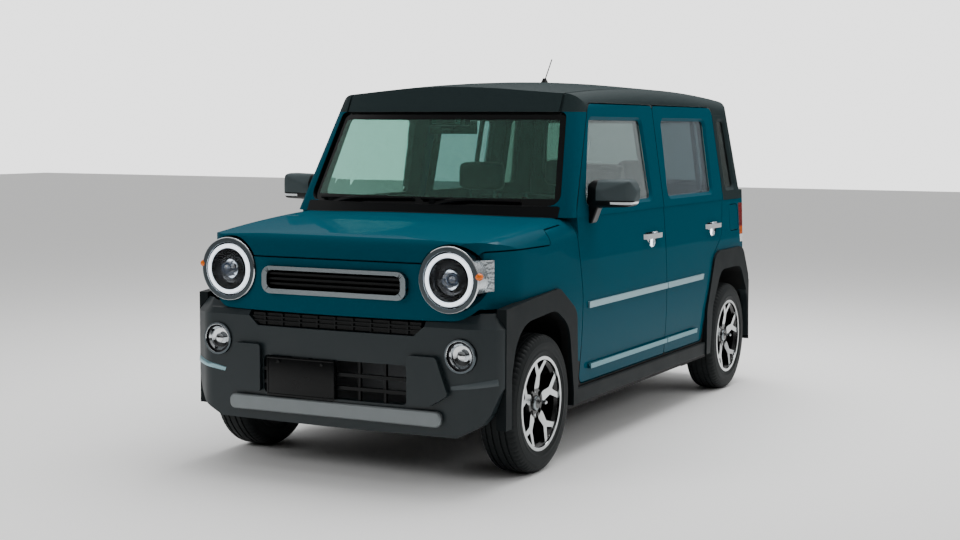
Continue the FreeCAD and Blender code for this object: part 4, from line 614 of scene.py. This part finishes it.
lamp_tree = surface_of("front_lamps")
dome = [(-0.0065 * (1 - (k / 8) ** 2), LENS_R * k / 8) for k in range(8, -1, -1)]
inner = [(along + 0.0025, radius * 0.985) for along, radius in reversed(dome)]
LENS = [(0.006, LENS_R)] + dome + inner + [(0.006, LENS_R * 0.985), (0.006, LENS_R)]
RING = [(0.004, LAMP_R * 0.655), (-0.001, LAMP_R * 0.668), (-0.0015, LAMP_R * 0.765),
        (0.002, LAMP_R * 0.785), (0.004, LAMP_R * 0.785), (0.004, LAMP_R * 0.655)]
PROJECTOR = bead(0.022, 0.030, math.pi / 2, 8) + [(0.006, 0.030), (0.006, 0)]
for side, sign in SIDES:
    turned_piece("headlamp_lens_" + side, LENS, (sign * LAMP_X, LAMP_Y - 0.001, LAMP_Z),
                         clear_lens, "front_lamps", 64)
    turned_piece("light_ring_" + side, RING, (sign * LAMP_X, LAMP_Y + 0.004, LAMP_Z),
                         light_ring, "front_lamps", 64)
    # the projector sits a little outboard in the bowl
    turned_piece("projector_" + side, PROJECTOR,
                         (sign * (LAMP_X + 0.012), LAMP_Y + 0.024, LAMP_Z + 0.002),
                         projector_glass, "front_lamps", 40)
    turned_piece("indicator_bulb_" + side, bead(0.018, 0.015, math.pi, 12),
                         met(lamp_tree, sign * BULB_X, BULB_Z) + Vector((0, 0.009, 0)),
                         amber, "front_lamps", 24)

# Glass
# Laminated windscreen with a printed black border, and tempered side panes. The rear panes
# are smoked, and the tailgate's pane has a printed border too.

windscreen_glass = glass("green tinted laminated glass", "#86bba8")
side_glass = glass("clear tempered glass", "#c3cfd0")
privacy_glass = glass("dark privacy glass", "#56625f")
smoked_glass = glass("smoked tempered glass", "#84929a")
frit = plain("black ceramic print", "#060808", 0.12)

SCREEN_LOW_Z, SCREEN_HIGH_Z, SCREEN_SLOPE = 1.118, 1.463, 0.152
SCREEN_HALF, SCREEN_FOOT_Z = 0.608, 1.088
PANE_LOW_Z, PANE_HIGH_Z, PANE_HALF = 1.130, 1.452, 0.508


def beside_screen(c, n):
    """On the windscreen, outside its clear part."""
    return c.y < -0.4 and (c.z < SCREEN_LOW_Z or c.z > SCREEN_HIGH_Z
                           or abs(c.x) > SCREEN_HALF - SCREEN_SLOPE * (c.z - SCREEN_FOOT_Z))


cuts = [((sign * SCREEN_HALF, 0, SCREEN_FOOT_Z), (sign, 0, SCREEN_SLOPE)) for sign in (1, -1)]
fixed = dressed("fixed_glass", windscreen_glass, edge=0,
                cuts=level(SCREEN_LOW_Z, SCREEN_HIGH_Z) + cuts)
zone(fixed, frit, beside_screen)
zone(fixed, privacy_glass, lambda c, n: c.y > 0.4)
cuts = [((sign * PANE_HALF, 0, 0), (1, 0, 0)) for sign in (1, -1)]
back_pane = dressed("tailgate_glass", privacy_glass, edge=0,
                    cuts=level(PANE_LOW_Z, PANE_HIGH_Z) + cuts)
zone(back_pane, frit, lambda c, n: abs(c.x) > PANE_HALF or c.z < PANE_LOW_Z
     or c.z > PANE_HIGH_Z)
for side, sign in SIDES:
    dressed("front_door_glass_" + side, side_glass, edge=0)
    dressed("rear_door_glass_" + side, smoked_glass, edge=0)

# Claw trims
# A slim smooth dark grey strip is clipped along the claw under each fog lamp. The one on
# the car's right is drawn in satin silver instead, as a painted highlight where light falls.

nose_tree = surface_of("front_bumper")


def add_bar(form, spots, half_width, half_height, lift):
    """Adds a bar of oblong section through some points, its flat side across lift."""
    rings = []
    lift = Vector(lift).normalized()
    for index, spot in enumerate(spots):
        spot = Vector(spot)
        before, after = spots[max(index - 1, 0)], spots[min(index + 1, len(spots) - 1)]
        along = (Vector(after) - Vector(before)).normalized()
        across = along.cross(lift).normalized()
        wide = half_width[index] if isinstance(half_width, (list, tuple)) else half_width
        rings.append([form.verts.new(spot + across * (u * wide) + lift * (v * half_height))
                      for u, v in ((1, 0.3), (0.7, 1), (-0.7, 1), (-1, 0.3), (-1, -1), (1, -1))])
    for one, two in zip(rings, rings[1:]):
        for k in range(6):
            form.faces.new((one[k], one[(k + 1) % 6], two[(k + 1) % 6], two[k]))
    form.faces.new(rings[0])
    form.faces.new(list(reversed(rings[-1])))


# painted highlight: the right strip's silver stands in for light on the same dark grey part
for side, sign, surface in (("left", 1, smooth_grey), ("right", -1, highlight_silver)):
    spots = [met(nose_tree, sign * (0.537 + 0.180 * k / 8), 0.404 + 0.028 * k / 8)
             + Vector((0, -0.001, 0)) for k in range(9)]
    form = bmesh.new()
    add_bar(form, spots, [0.0085 + 0.0006 * k for k in range(9)], 0.003, (sign * 0.15, -1, 0))
    new_piece("claw_trim_" + side, form, surface, "front_bumper")

# Wipers and camera
# Two arms with rubber blades lie over the black foot of the windscreen. A twin camera in a
# black housing looks out under the roof.

SCREEN_OUT = Vector((0, -0.89, 0.46))      # square to the windscreen
wiper_black = grained_plastic("black painted wiper arm", "#0a0b0c", 0.35, depth=0.00003)
screen_tree = surface_of("fixed_glass")


def on_screen(x, z, proud):
    """A point over the windscreen's outer face."""
    return met(screen_tree, x, z) + SCREEN_OUT * proud


def between(one, two, steps):
    """Evenly spaced (x, z) points from one to another."""
    return [(one[0] + (two[0] - one[0]) * k / steps, one[1] + (two[1] - one[1]) * k / steps)
            for k in range(steps + 1)]


wipers = bmesh.new()
# the blade's two ends and the pivot, as (x, z)
for start, end, foot in (((-0.565, 1.098), (-0.035, 1.108), (-0.500, 1.092)),
                         ((0.010, 1.108), (0.470, 1.100), (0.065, 1.094))):
    blade = [on_screen(x, z, 0.012) for x, z in between(start, end, 10)]
    add_bar(wipers, blade, 0.006, 0.006, SCREEN_OUT)
    pivot = on_screen(*foot, 0.004)
    arm = []
    for k in range(7):
        bow = SCREEN_OUT * 0.014 * math.sin(math.pi * k / 6)
        arm.append(pivot + (blade[5] - pivot) * k / 6 + bow
                   + Vector((0, 0, -0.010)) * (1 - k / 6))
    add_bar(wipers, arm, [0.012 - 0.001 * k for k in range(7)], 0.004, SCREEN_OUT)
    add_turned(wipers, [(-0.006, 0), (-0.006, 0.016), (0.010, 0.015), (0.014, 0)], pivot, "y", 20)
new_piece("windscreen_wipers", wipers, wiper_black, "fixed_glass")
housing = bmesh.new()
add_block(housing, (-0.095, -0.700, 1.432), (0.095, -0.640, 1.478), 0.008)
new_piece("camera_housing", housing, satin_black, "fixed_glass")
eyes = bmesh.new()
for across in (-0.062, 0.062):
    add_turned(eyes, [(0.004, 0), (0.004, 0.013), (-0.004, 0.013), (-0.004, 0.009), (0, 0.008),
                      (-0.003, 0)], (across, -0.701, 1.454), "y", 24)
new_piece("camera_lenses", eyes, projector_glass, "fixed_glass")

# Wheels and tyres
# Cast alloy wheels: the machined faces are bright and the pockets painted gloss black. Four
# nuts hold each. The tyres have four grooves round the tread, cut blocks at the shoulders
# and rings on the walls.

TRACK_HALF, TYRE_R, BEAD_R = 0.6485, 0.2895, 0.1965
RIM_OUT = 0.7215
BLOCKS = 72
SHOULDER, RIB = (0.0465, 0.0750), (0.0204, 0.0390)      # from the tread's middle
SHOULDER_SIPE, RIB_SIPE = 0.0040, 0.0022                 # depths
SKEW = 0.010
NUTS, NUT_CIRCLE = 4, 0.050
SPOKE_DEEP, RIM_DEEP, CAP_DEEP = 0.032, 0.010, 0.020     # in from the rim's outer face
SPOKE_R, RIM_R = 0.066, 0.180
DISC_IN, DISC_OUT, CAP_IN, CAP_OUT = 0.072, 0.130, 0.022, 0.0305
machined, tree, shader = material("diamond-turned alloy", Base_Color=linear("#c9cccd"),
                                  Metallic=1.0, Roughness=0.2)
lines = pattern(tree, "ShaderNodeTexNoise", Scale=260.0)
bumped(tree, shader, lines.outputs["Fac"], 0.05, 0.0001)
pocket_black = plain("gloss black wheel enamel", "#0a0b0c", 0.25)
disc_iron = plain("turned cast iron", "#55585a", 0.38, 1.0)
tyre_rubber = grained_plastic("tyre rubber", "#141819", 0.6, grain_mm=2.2)
# across the tread from the middle: (distance, depth below the tread)
TREAD = [(0.0, 0), (0.0125, 0), (0.0135, 0.0065), (0.0195, 0.0065), (0.0205, 0.0002),
         (0.0385, 0.0008), (0.0395, 0.0068), (0.0455, 0.0068), (0.0465, 0.0012), (0.0560, 0.0024),
         (0.0640, 0.0052), (0.0700, 0.0096), (0.0745, 0.0155)]
WALL = [(0.0770, 0.268), (0.0800, 0.255), (0.0812, 0.2545), (0.0818, 0.2525), (0.0813, 0.2505),
        (0.0824, 0.246), (0.0825, 0.232), (0.0815, 0.222), (0.0822, 0.2205), (0.0822, 0.2165),
        (0.0808, 0.215), (0.0785, 0.206), (0.0770, BEAD_R + 0.0006)]


def tyre_form(middle_x, axle_y):
    """A tyre turned about its axle, with sipes across its shoulder blocks."""
    half = [(u, TYRE_R - depth) for u, depth in TREAD] + WALL
    section = [(-u, r) for u, r in reversed(half)] + half[1:]
    form = bmesh.new()
    rings = []
    for step in range(BLOCKS * 4):
        angle = 2 * math.pi * step / (BLOCKS * 4)
        cut = step % 4 == 0
        ring = []
        for u, r in section:
            sunk = 0
            if cut and SHOULDER[0] < abs(u) < SHOULDER[1]:
                sunk = SHOULDER_SIPE
            elif cut and RIB[0] < abs(u) < RIB[1] and step % 8 == 0:
                sunk = RIB_SIPE
            skew = SKEW * abs(u) / 0.08 * (1 if u > 0 else -1)
            ring.append(form.verts.new((middle_x + u,
                                        axle_y + (r - sunk) * math.cos(angle + skew),
                                        HUB_Z + (r - sunk) * math.sin(angle + skew))))
        rings.append(ring)
    for step in range(len(rings)):
        one, two = rings[step], rings[(step + 1) % len(rings)]
        for k in range(len(section) - 1):
            form.faces.new((one[k], one[k + 1], two[k + 1], two[k]))
        form.faces.new((one[-1], one[0], two[0], two[-1]))
    return form


def node_group(name, inputs):
    """A Geometry Nodes tree with some named inputs, and the node that gives them."""
    tree = bpy.data.node_groups.new(name, "GeometryNodeTree")
    for title, kind in inputs:
        tree.interface.new_socket(title, in_out="INPUT", socket_type="NodeSocket" + kind)
    tree.interface.new_socket("Geometry", in_out="OUTPUT", socket_type="NodeSocketGeometry")
    return tree, add_node(tree, "NodeGroupInput")


def give_out(tree, geometry, surface):
    """Makes a tree's instances real, paints them and gives them out."""
    real = add_node(tree, "GeometryNodeRealizeInstances", Geometry=geometry)
    painted = add_node(tree, "GeometryNodeSetMaterial", Geometry=real.outputs["Geometry"],
                       Material=surface)
    add_node(tree, "NodeGroupOutput", Geometry=painted.outputs["Geometry"])
    return tree


def grow(piece, tree, values):
    """Runs a Geometry Nodes tree with some values, and makes what it does the mesh."""
    modifier = piece.modifiers.new(tree.name, "NODES")
    modifier.node_group = tree
    for item in tree.interface.items_tree:
        if item.in_out == "INPUT" and item.name in values:
            modifier[item.identifier] = values[item.name]
    settle(piece)


def nut_tree(nut):
    """A tree that sets one nut on each point of a circle of bolts."""
    tree, given = node_group("wheel_nuts", (("Nuts", "Int"), ("Circle Radius", "Float"),
                                            ("Centre", "Vector")))
    circle = add_node(tree, "GeometryNodeMeshCircle", Vertices=given.outputs["Nuts"],
                      Radius=given.outputs["Circle Radius"])
    turned = add_node(tree, "GeometryNodeTransform", Geometry=circle.outputs["Mesh"],
                      Rotation=(math.radians(45), math.radians(90), 0))
    seed = add_node(tree, "GeometryNodeObjectInfo", Object=nut)
    placed = add_node(tree, "GeometryNodeInstanceOnPoints", Points=turned.outputs["Geometry"],
                      Instance=seed.outputs["Geometry"])
    moved = add_node(tree, "GeometryNodeTransform", Geometry=placed.outputs["Instances"],
                     Translation=given.outputs["Centre"])
    return give_out(tree, moved.outputs["Geometry"], chrome)


form = bmesh.new()
add_turned(form, [(-0.012, 0), (-0.012, 0.0088), (0.004, 0.0088), (0.008, 0.0062), (0.009, 0)],
           (0, 0, 0), "x", 6)
bmesh.ops.recalc_face_normals(form, faces=form.faces)
nut = bpy.data.objects.new("wheel_nut", bpy.data.meshes.new("wheel_nut"))
form.to_mesh(nut.data)
form.free()
nuts_of = nut_tree(nut)
for end, axle_y in zip(("front", "rear"), AXLES):
    for side, sign in SIDES:
        wheel = dressed(end + "_wheel_" + side, pocket_black, edge=0.0012, merge=False)

        def out_from(c):
            return math.hypot(c.y - axle_y, c.z - HUB_Z)

        # the spokes' faces, the rim's edge, the brake disc and the ring round the cap
        zone(wheel, machined, lambda c, n: n.x * sign > 0.8
             and c.x * sign > RIM_OUT - SPOKE_DEEP and out_from(c) > SPOKE_R)
        zone(wheel, machined, lambda c, n: out_from(c) > RIM_R
             and c.x * sign > RIM_OUT - RIM_DEEP)
        zone(wheel, disc_iron, lambda c, n: abs(c.x) < TRACK_HALF - 0.02
             and DISC_IN < out_from(c) < DISC_OUT)
        zone(wheel, satin_chrome, lambda c, n: CAP_IN < out_from(c) < CAP_OUT
             and c.x * sign > RIM_OUT - CAP_DEEP)
        tyre = new_piece(end + "_tyre_tread_" + side, tyre_form(sign * TRACK_HALF, axle_y),
                         tyre_rubber, end + "_tyre_" + side, seam_degrees=40)
        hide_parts(end + "_tyre_" + side)
        holder = bpy.data.objects.new(end + "_wheel_nuts_" + side, bpy.data.meshes.new("nuts"))
        bpy.context.scene.collection.objects.link(holder)
        grow(holder, nuts_of, {"Nuts": NUTS, "Circle Radius": NUT_CIRCLE,
                               "Centre": (sign * (RIM_OUT - 0.034), axle_y, HUB_Z)})
        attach(holder, nodes[end + "_wheel_" + side]["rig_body"])
bpy.data.objects.remove(nut)

# Tail lamps, reflectors and rear trim
# Red acrylic lamps with an amber and a clear section, two red reflectors in the bumper, a
# satin edge along the grip, and a wiper on the tailgate's pane.

CLEAR_TOP_Z, AMBER_TOP_Z = 0.838, 0.882
PRISM_MM = 6
REFLECTOR_X, REFLECTOR_HALF = 0.50, 0.075
PANE_OUT = Vector((0, 0.99, 0.14))      # square to the tailgate's pane
red_lens, tree, shader = material("red acrylic lens", Base_Color=linear("#6e0406"), Roughness=0.1,
                                  Specular_IOR_Level=0.3)
prisms = pattern(tree, "ShaderNodeTexChecker", Scale=1000 / PRISM_MM)
bumped(tree, shader, prisms.outputs["Fac"], 0.3, 0.0004)
white_lens = plain("frosted clear acrylic lens", "#d9dcdc", 0.12)
amber_lens = plain("amber acrylic lens", "#b34e08", 0.1)
tail = dressed("tail_lamps", red_lens, cuts=level(CLEAR_TOP_Z, AMBER_TOP_Z), edge=0.003)
zone(tail, white_lens, lambda c, n: c.z < CLEAR_TOP_Z)
zone(tail, amber_lens, lambda c, n: CLEAR_TOP_Z < c.z < AMBER_TOP_Z)

form = bmesh.new()
for middle in (REFLECTOR_X, -REFLECTOR_X):
    add_block(form, (middle - REFLECTOR_HALF, 1.672, 0.470),
              (middle + REFLECTOR_HALF, 1.689, 0.505), 0.006)
new_piece("rear_reflectors", form, red_lens, "rear_bumper")
form = bmesh.new()
add_block(form, (-0.20, 1.600, 0.958), (0.20, 1.622, 0.964), 0.002)
new_piece("tailgate_grip_edge", form, satin_chrome, "tailgate")
pane_tree = surface_of("tailgate_glass")


def on_pane(x, z, proud):
    """A point over the tailgate pane's outer face."""
    return met(pane_tree, x, z, 2.6) + PANE_OUT * proud


form = bmesh.new()
add_turned(form, [(-0.004, 0), (-0.004, 0.018), (0.012, 0.016), (0.016, 0)],
           on_pane(0.0, 1.112, 0.004), "y", 20)
add_bar(form, [on_pane(x, z, 0.016) for x, z in between((0.0, 1.112), (-0.30, 1.142), 8)],
        [0.011 - 0.0007 * k for k in range(9)], 0.004, PANE_OUT)
add_bar(form, [on_pane(x, z, 0.008) for x, z in between((-0.10, 1.118), (-0.46, 1.154), 8)],
        0.005, 0.004, PANE_OUT)
new_piece("tailgate_wiper", form, wiper_black, "tailgate_glass")

# Heater lines on the tailgate's pane
# Thin conductive lines fired on to the glass, evenly spaced, drawn 0.8 mm wide.

HEATER_LINES, HEATER_STEP = 10, 0.030
HEATER_LOW_Z, HEATER_RISE = 1.15, 0.28


def line_tree():
    """A tree that repeats a line up a pane."""
    tree, given = node_group("heater_lines", (("Line", "Geometry"), ("Count", "Int"),
                                              ("Step", "Vector")))
    rows = add_node(tree, "GeometryNodeMeshLine", Count=given.outputs["Count"],
                    Offset=given.outputs["Step"])
    placed = add_node(tree, "GeometryNodeInstanceOnPoints", Points=rows.outputs["Mesh"],
                      Instance=given.outputs["Line"])
    return give_out(tree, placed.outputs["Instances"], heater_print)


heater_print = plain("fired silver heater print", "#4a3a30", 0.5)
form = bmesh.new()
add_bar(form, [on_pane(-0.48 + 0.096 * k, HEATER_LOW_Z, 0.0008) for k in range(11)], 0.0004,
        0.0003, PANE_OUT)
heater = new_piece("pane_heater_lines", form, heater_print, "tailgate_glass")
lean = on_pane(0.0, HEATER_LOW_Z + HEATER_RISE, 0) - on_pane(0.0, HEATER_LOW_Z, 0)
grow(heater, line_tree(), {"Count": HEATER_LINES,
                           "Step": tuple(lean * (HEATER_STEP / HEATER_RISE))})

# Mirrors
# Black housings with a grey metallic shell, silvered glass in their rear faces, and a clear
# repeater strip along the lower outer edge.

mirror_shell = flake_paint("grey metallic mirror shell", "#454e50", "#6f7a7c", 0.25)
silvered = plain("silvered mirror glass", "#cfd6d8", 0.015, 1.0)
repeater = plain("clear repeater strip", "#e6ebed", 0.1, Coat_Weight=1.0)


def shade_smooth(piece):
    """Shades every face of a piece smooth."""
    for face in piece.data.polygons:
        face.use_smooth = True


def soften(piece, grid, rounds):
    """Rebuilds a piece on an even grid and smooths it, for a shape with no hard edge."""
    even = piece.modifiers.new("even_grid", "REMESH")
    even.mode = "VOXEL"
    even.voxel_size = grid
    eased = piece.modifiers.new("eased", "SMOOTH")
    eased.factor = 0.5
    eased.iterations = rounds
    settle(piece)
    shade_smooth(piece)


for side, sign in SIDES:
    housing = dressed("door_mirror_" + side, satin_black, edge=0, merge=False)
    soften(housing, 0.0035, 14)
    zone(housing, mirror_shell, lambda c, n: c.z > 1.110 and n.y < 0.6 and c.x * sign > 0.745)
    zone(housing, repeater, lambda c, n: 1.094 < c.z < 1.1045 and c.x * sign > 0.81
         and n.y < 0.4 and n.z > -0.6)
    zone(housing, silvered, lambda c, n: n.y > 0.9 and c.y < -0.606 and c.z > 1.095)
inner_mirror = dressed("interior_mirror", satin_black, edge=0.004)
zone(inner_mirror, silvered, lambda c, n: n.y > 0.9)

# Running gear and engine
# Black painted steel subframe, axles and knuckles, a cast engine block, and an exhaust of
# aluminised steel.

chassis = grained_plastic("black chassis paint", "#0d0e0f", 0.5)
for node in ("front_axle", "rear_axle", "knuckle_left", "knuckle_right", "seat_bases",
             "floor_pan", "front_structure"):
    dressed(node, chassis)
cast, tree, shader = material("sand cast aluminium", Base_Color=linear("#5f6163"), Metallic=1.0)
sand = pattern(tree, "ShaderNodeTexNoise", Scale=400.0)
roughened(tree, shader, sand.outputs["Fac"], 0.45, 0.7)
bumped(tree, shader, sand.outputs["Fac"], 0.4, 0.0004)
dressed("engine_block", cast)
pipe, tree, shader = material("aluminised exhaust steel", Base_Color=linear("#6b6864"),
                              Metallic=1.0)
stain = pattern(tree, "ShaderNodeTexNoise", Scale=18.0)
roughened(tree, shader, stain.outputs["Fac"], 0.3, 0.6)
dressed("exhaust", pipe)

# Dashboard and steering wheel
# A grained polypropylene dashboard, and a steering wheel wrapped in smooth leather.

cabin = grained_plastic("grained cabin polypropylene", "#131516", 0.55)
dressed("dashboard", cabin, edge=0.006)
leather = grained_plastic("black smooth leather", "#0f1011", 0.45, grain_mm=1.2)
dressed("steering_wheel", leather, edge=0)

# Seats
# Foam cushions and backs under a dark woven cloth, blown up a little by a cloth simulation
# so that they crown between their seams. Head restraints stand on two steel posts.

WEAVE_MM = 3.0      # drawn coarser than the real 1 mm thread so that it shows
VOXEL = 0.016
PRESSURE, SWELL_FRAMES = 4.0, 20
SWELL = 0.014
SEAT_FOOT_Z, CUSHION_DEEP = 0.452, 0.135


def seat_cloth(name, colour, thread):
    """Woven cloth: two crossed sets of threads, with a soft sheen."""
    made, tree, shader = material(name, Roughness=0.88, Sheen_Weight=0.25)
    warp, weft = (pattern(tree, "ShaderNodeTexWave", {"bands_direction": way},
                          Scale=1000 / WEAVE_MM / 6.28) for way in ("X", "DIAGONAL"))
    weave = add_node(tree, "ShaderNodeMath", {"operation": "MULTIPLY"},
                     i0=warp.outputs["Fac"], i1=weft.outputs["Fac"])
    tinted(tree, shader, weave.outputs["Value"], colour, thread)
    bumped(tree, shader, weave.outputs["Value"], 0.4, 0.0006)
    return made


cloth = seat_cloth("dark woven seat cloth", "#17191b", "#2c3033")


def pad(name, low, high, lean, node):
    """A stuffed pad between two corners, leaned back about its foot and swollen."""
    form = bmesh.new()
    turn = Matrix.Rotation(math.radians(-lean), 3, "X")
    about = ((low[0] + high[0]) / 2, high[1], low[2])
    add_block(form, low, high, 0.035, turn=turn, about=about, segments=4)
    piece = new_piece(name, form, cloth, node, seam_degrees=80)
    remesh = piece.modifiers.new("even_grid", "REMESH")
    remesh.mode = "VOXEL"
    remesh.voxel_size = VOXEL
    remesh.use_smooth_shade = True
    settle(piece)
    before = [vert.co.copy() for vert in piece.data.vertices]
    swell = piece.modifiers.new("stuffing", "CLOTH")
    swell.settings.use_pressure = True
    swell.settings.uniform_pressure_force = PRESSURE
    swell.settings.effector_weights.gravity = 0
    swell.settings.quality = 5
    swell.point_cache.frame_start, swell.point_cache.frame_end = 1, SWELL_FRAMES
    for step in range(1, SWELL_FRAMES + 1):
        bpy.context.scene.frame_set(step)
    settle(piece)
    bpy.context.scene.frame_set(1)
    for vert, old in zip(piece.data.vertices, before):
        moved = vert.co - old
        if moved.length > SWELL:
            vert.co = old + moved.normalized() * SWELL
    smooth = piece.modifiers.new("smooth", "SUBSURF")
    smooth.levels = smooth.render_levels = 1
    settle(piece)
    piece.data.materials.clear()
    piece.data.materials.append(cloth)
    shade_smooth(piece)
    return piece


# each row of seats: name, distance from the car's middle, half width, front, CAD node
ROWS = [("front_seat", 0.330, 0.215, -0.345, "front_seats"),
        ("rear_seat", 0.220, 0.205, 0.495, "rear_seat")]
for row, across, half, front, node in ROWS:
    for side, sign in SIDES:
        name, x, foot = row + "_" + side, sign * across, SEAT_FOOT_Z
        cushion = pad(name + "_cushion", (x - half, front, foot),
                      (x + half, front + 0.50, foot + CUSHION_DEEP), 0, node)
        back = pad(name + "_back", (x - half, front + 0.42, foot + 0.10),
                   (x + half, front + 0.545, foot + 0.60), 13, node)
        head = pad(name + "_head_restraint", (x - 0.125, front + 0.615, foot + 0.645),
                   (x + 0.125, front + 0.700, foot + 0.790), 4, node)
        posts = bmesh.new()
        for aside in (-0.07, 0.07):
            add_turned(posts, [(-0.09, 0), (-0.09, 0.006), (0.03, 0.006), (0.03, 0)],
                       (x + aside, front + 0.665, foot + 0.63), "z", 12)
        new_piece(name + "_posts", posts, satin_chrome, node)
        for piece in (cushion, back, head):
            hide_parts(node)
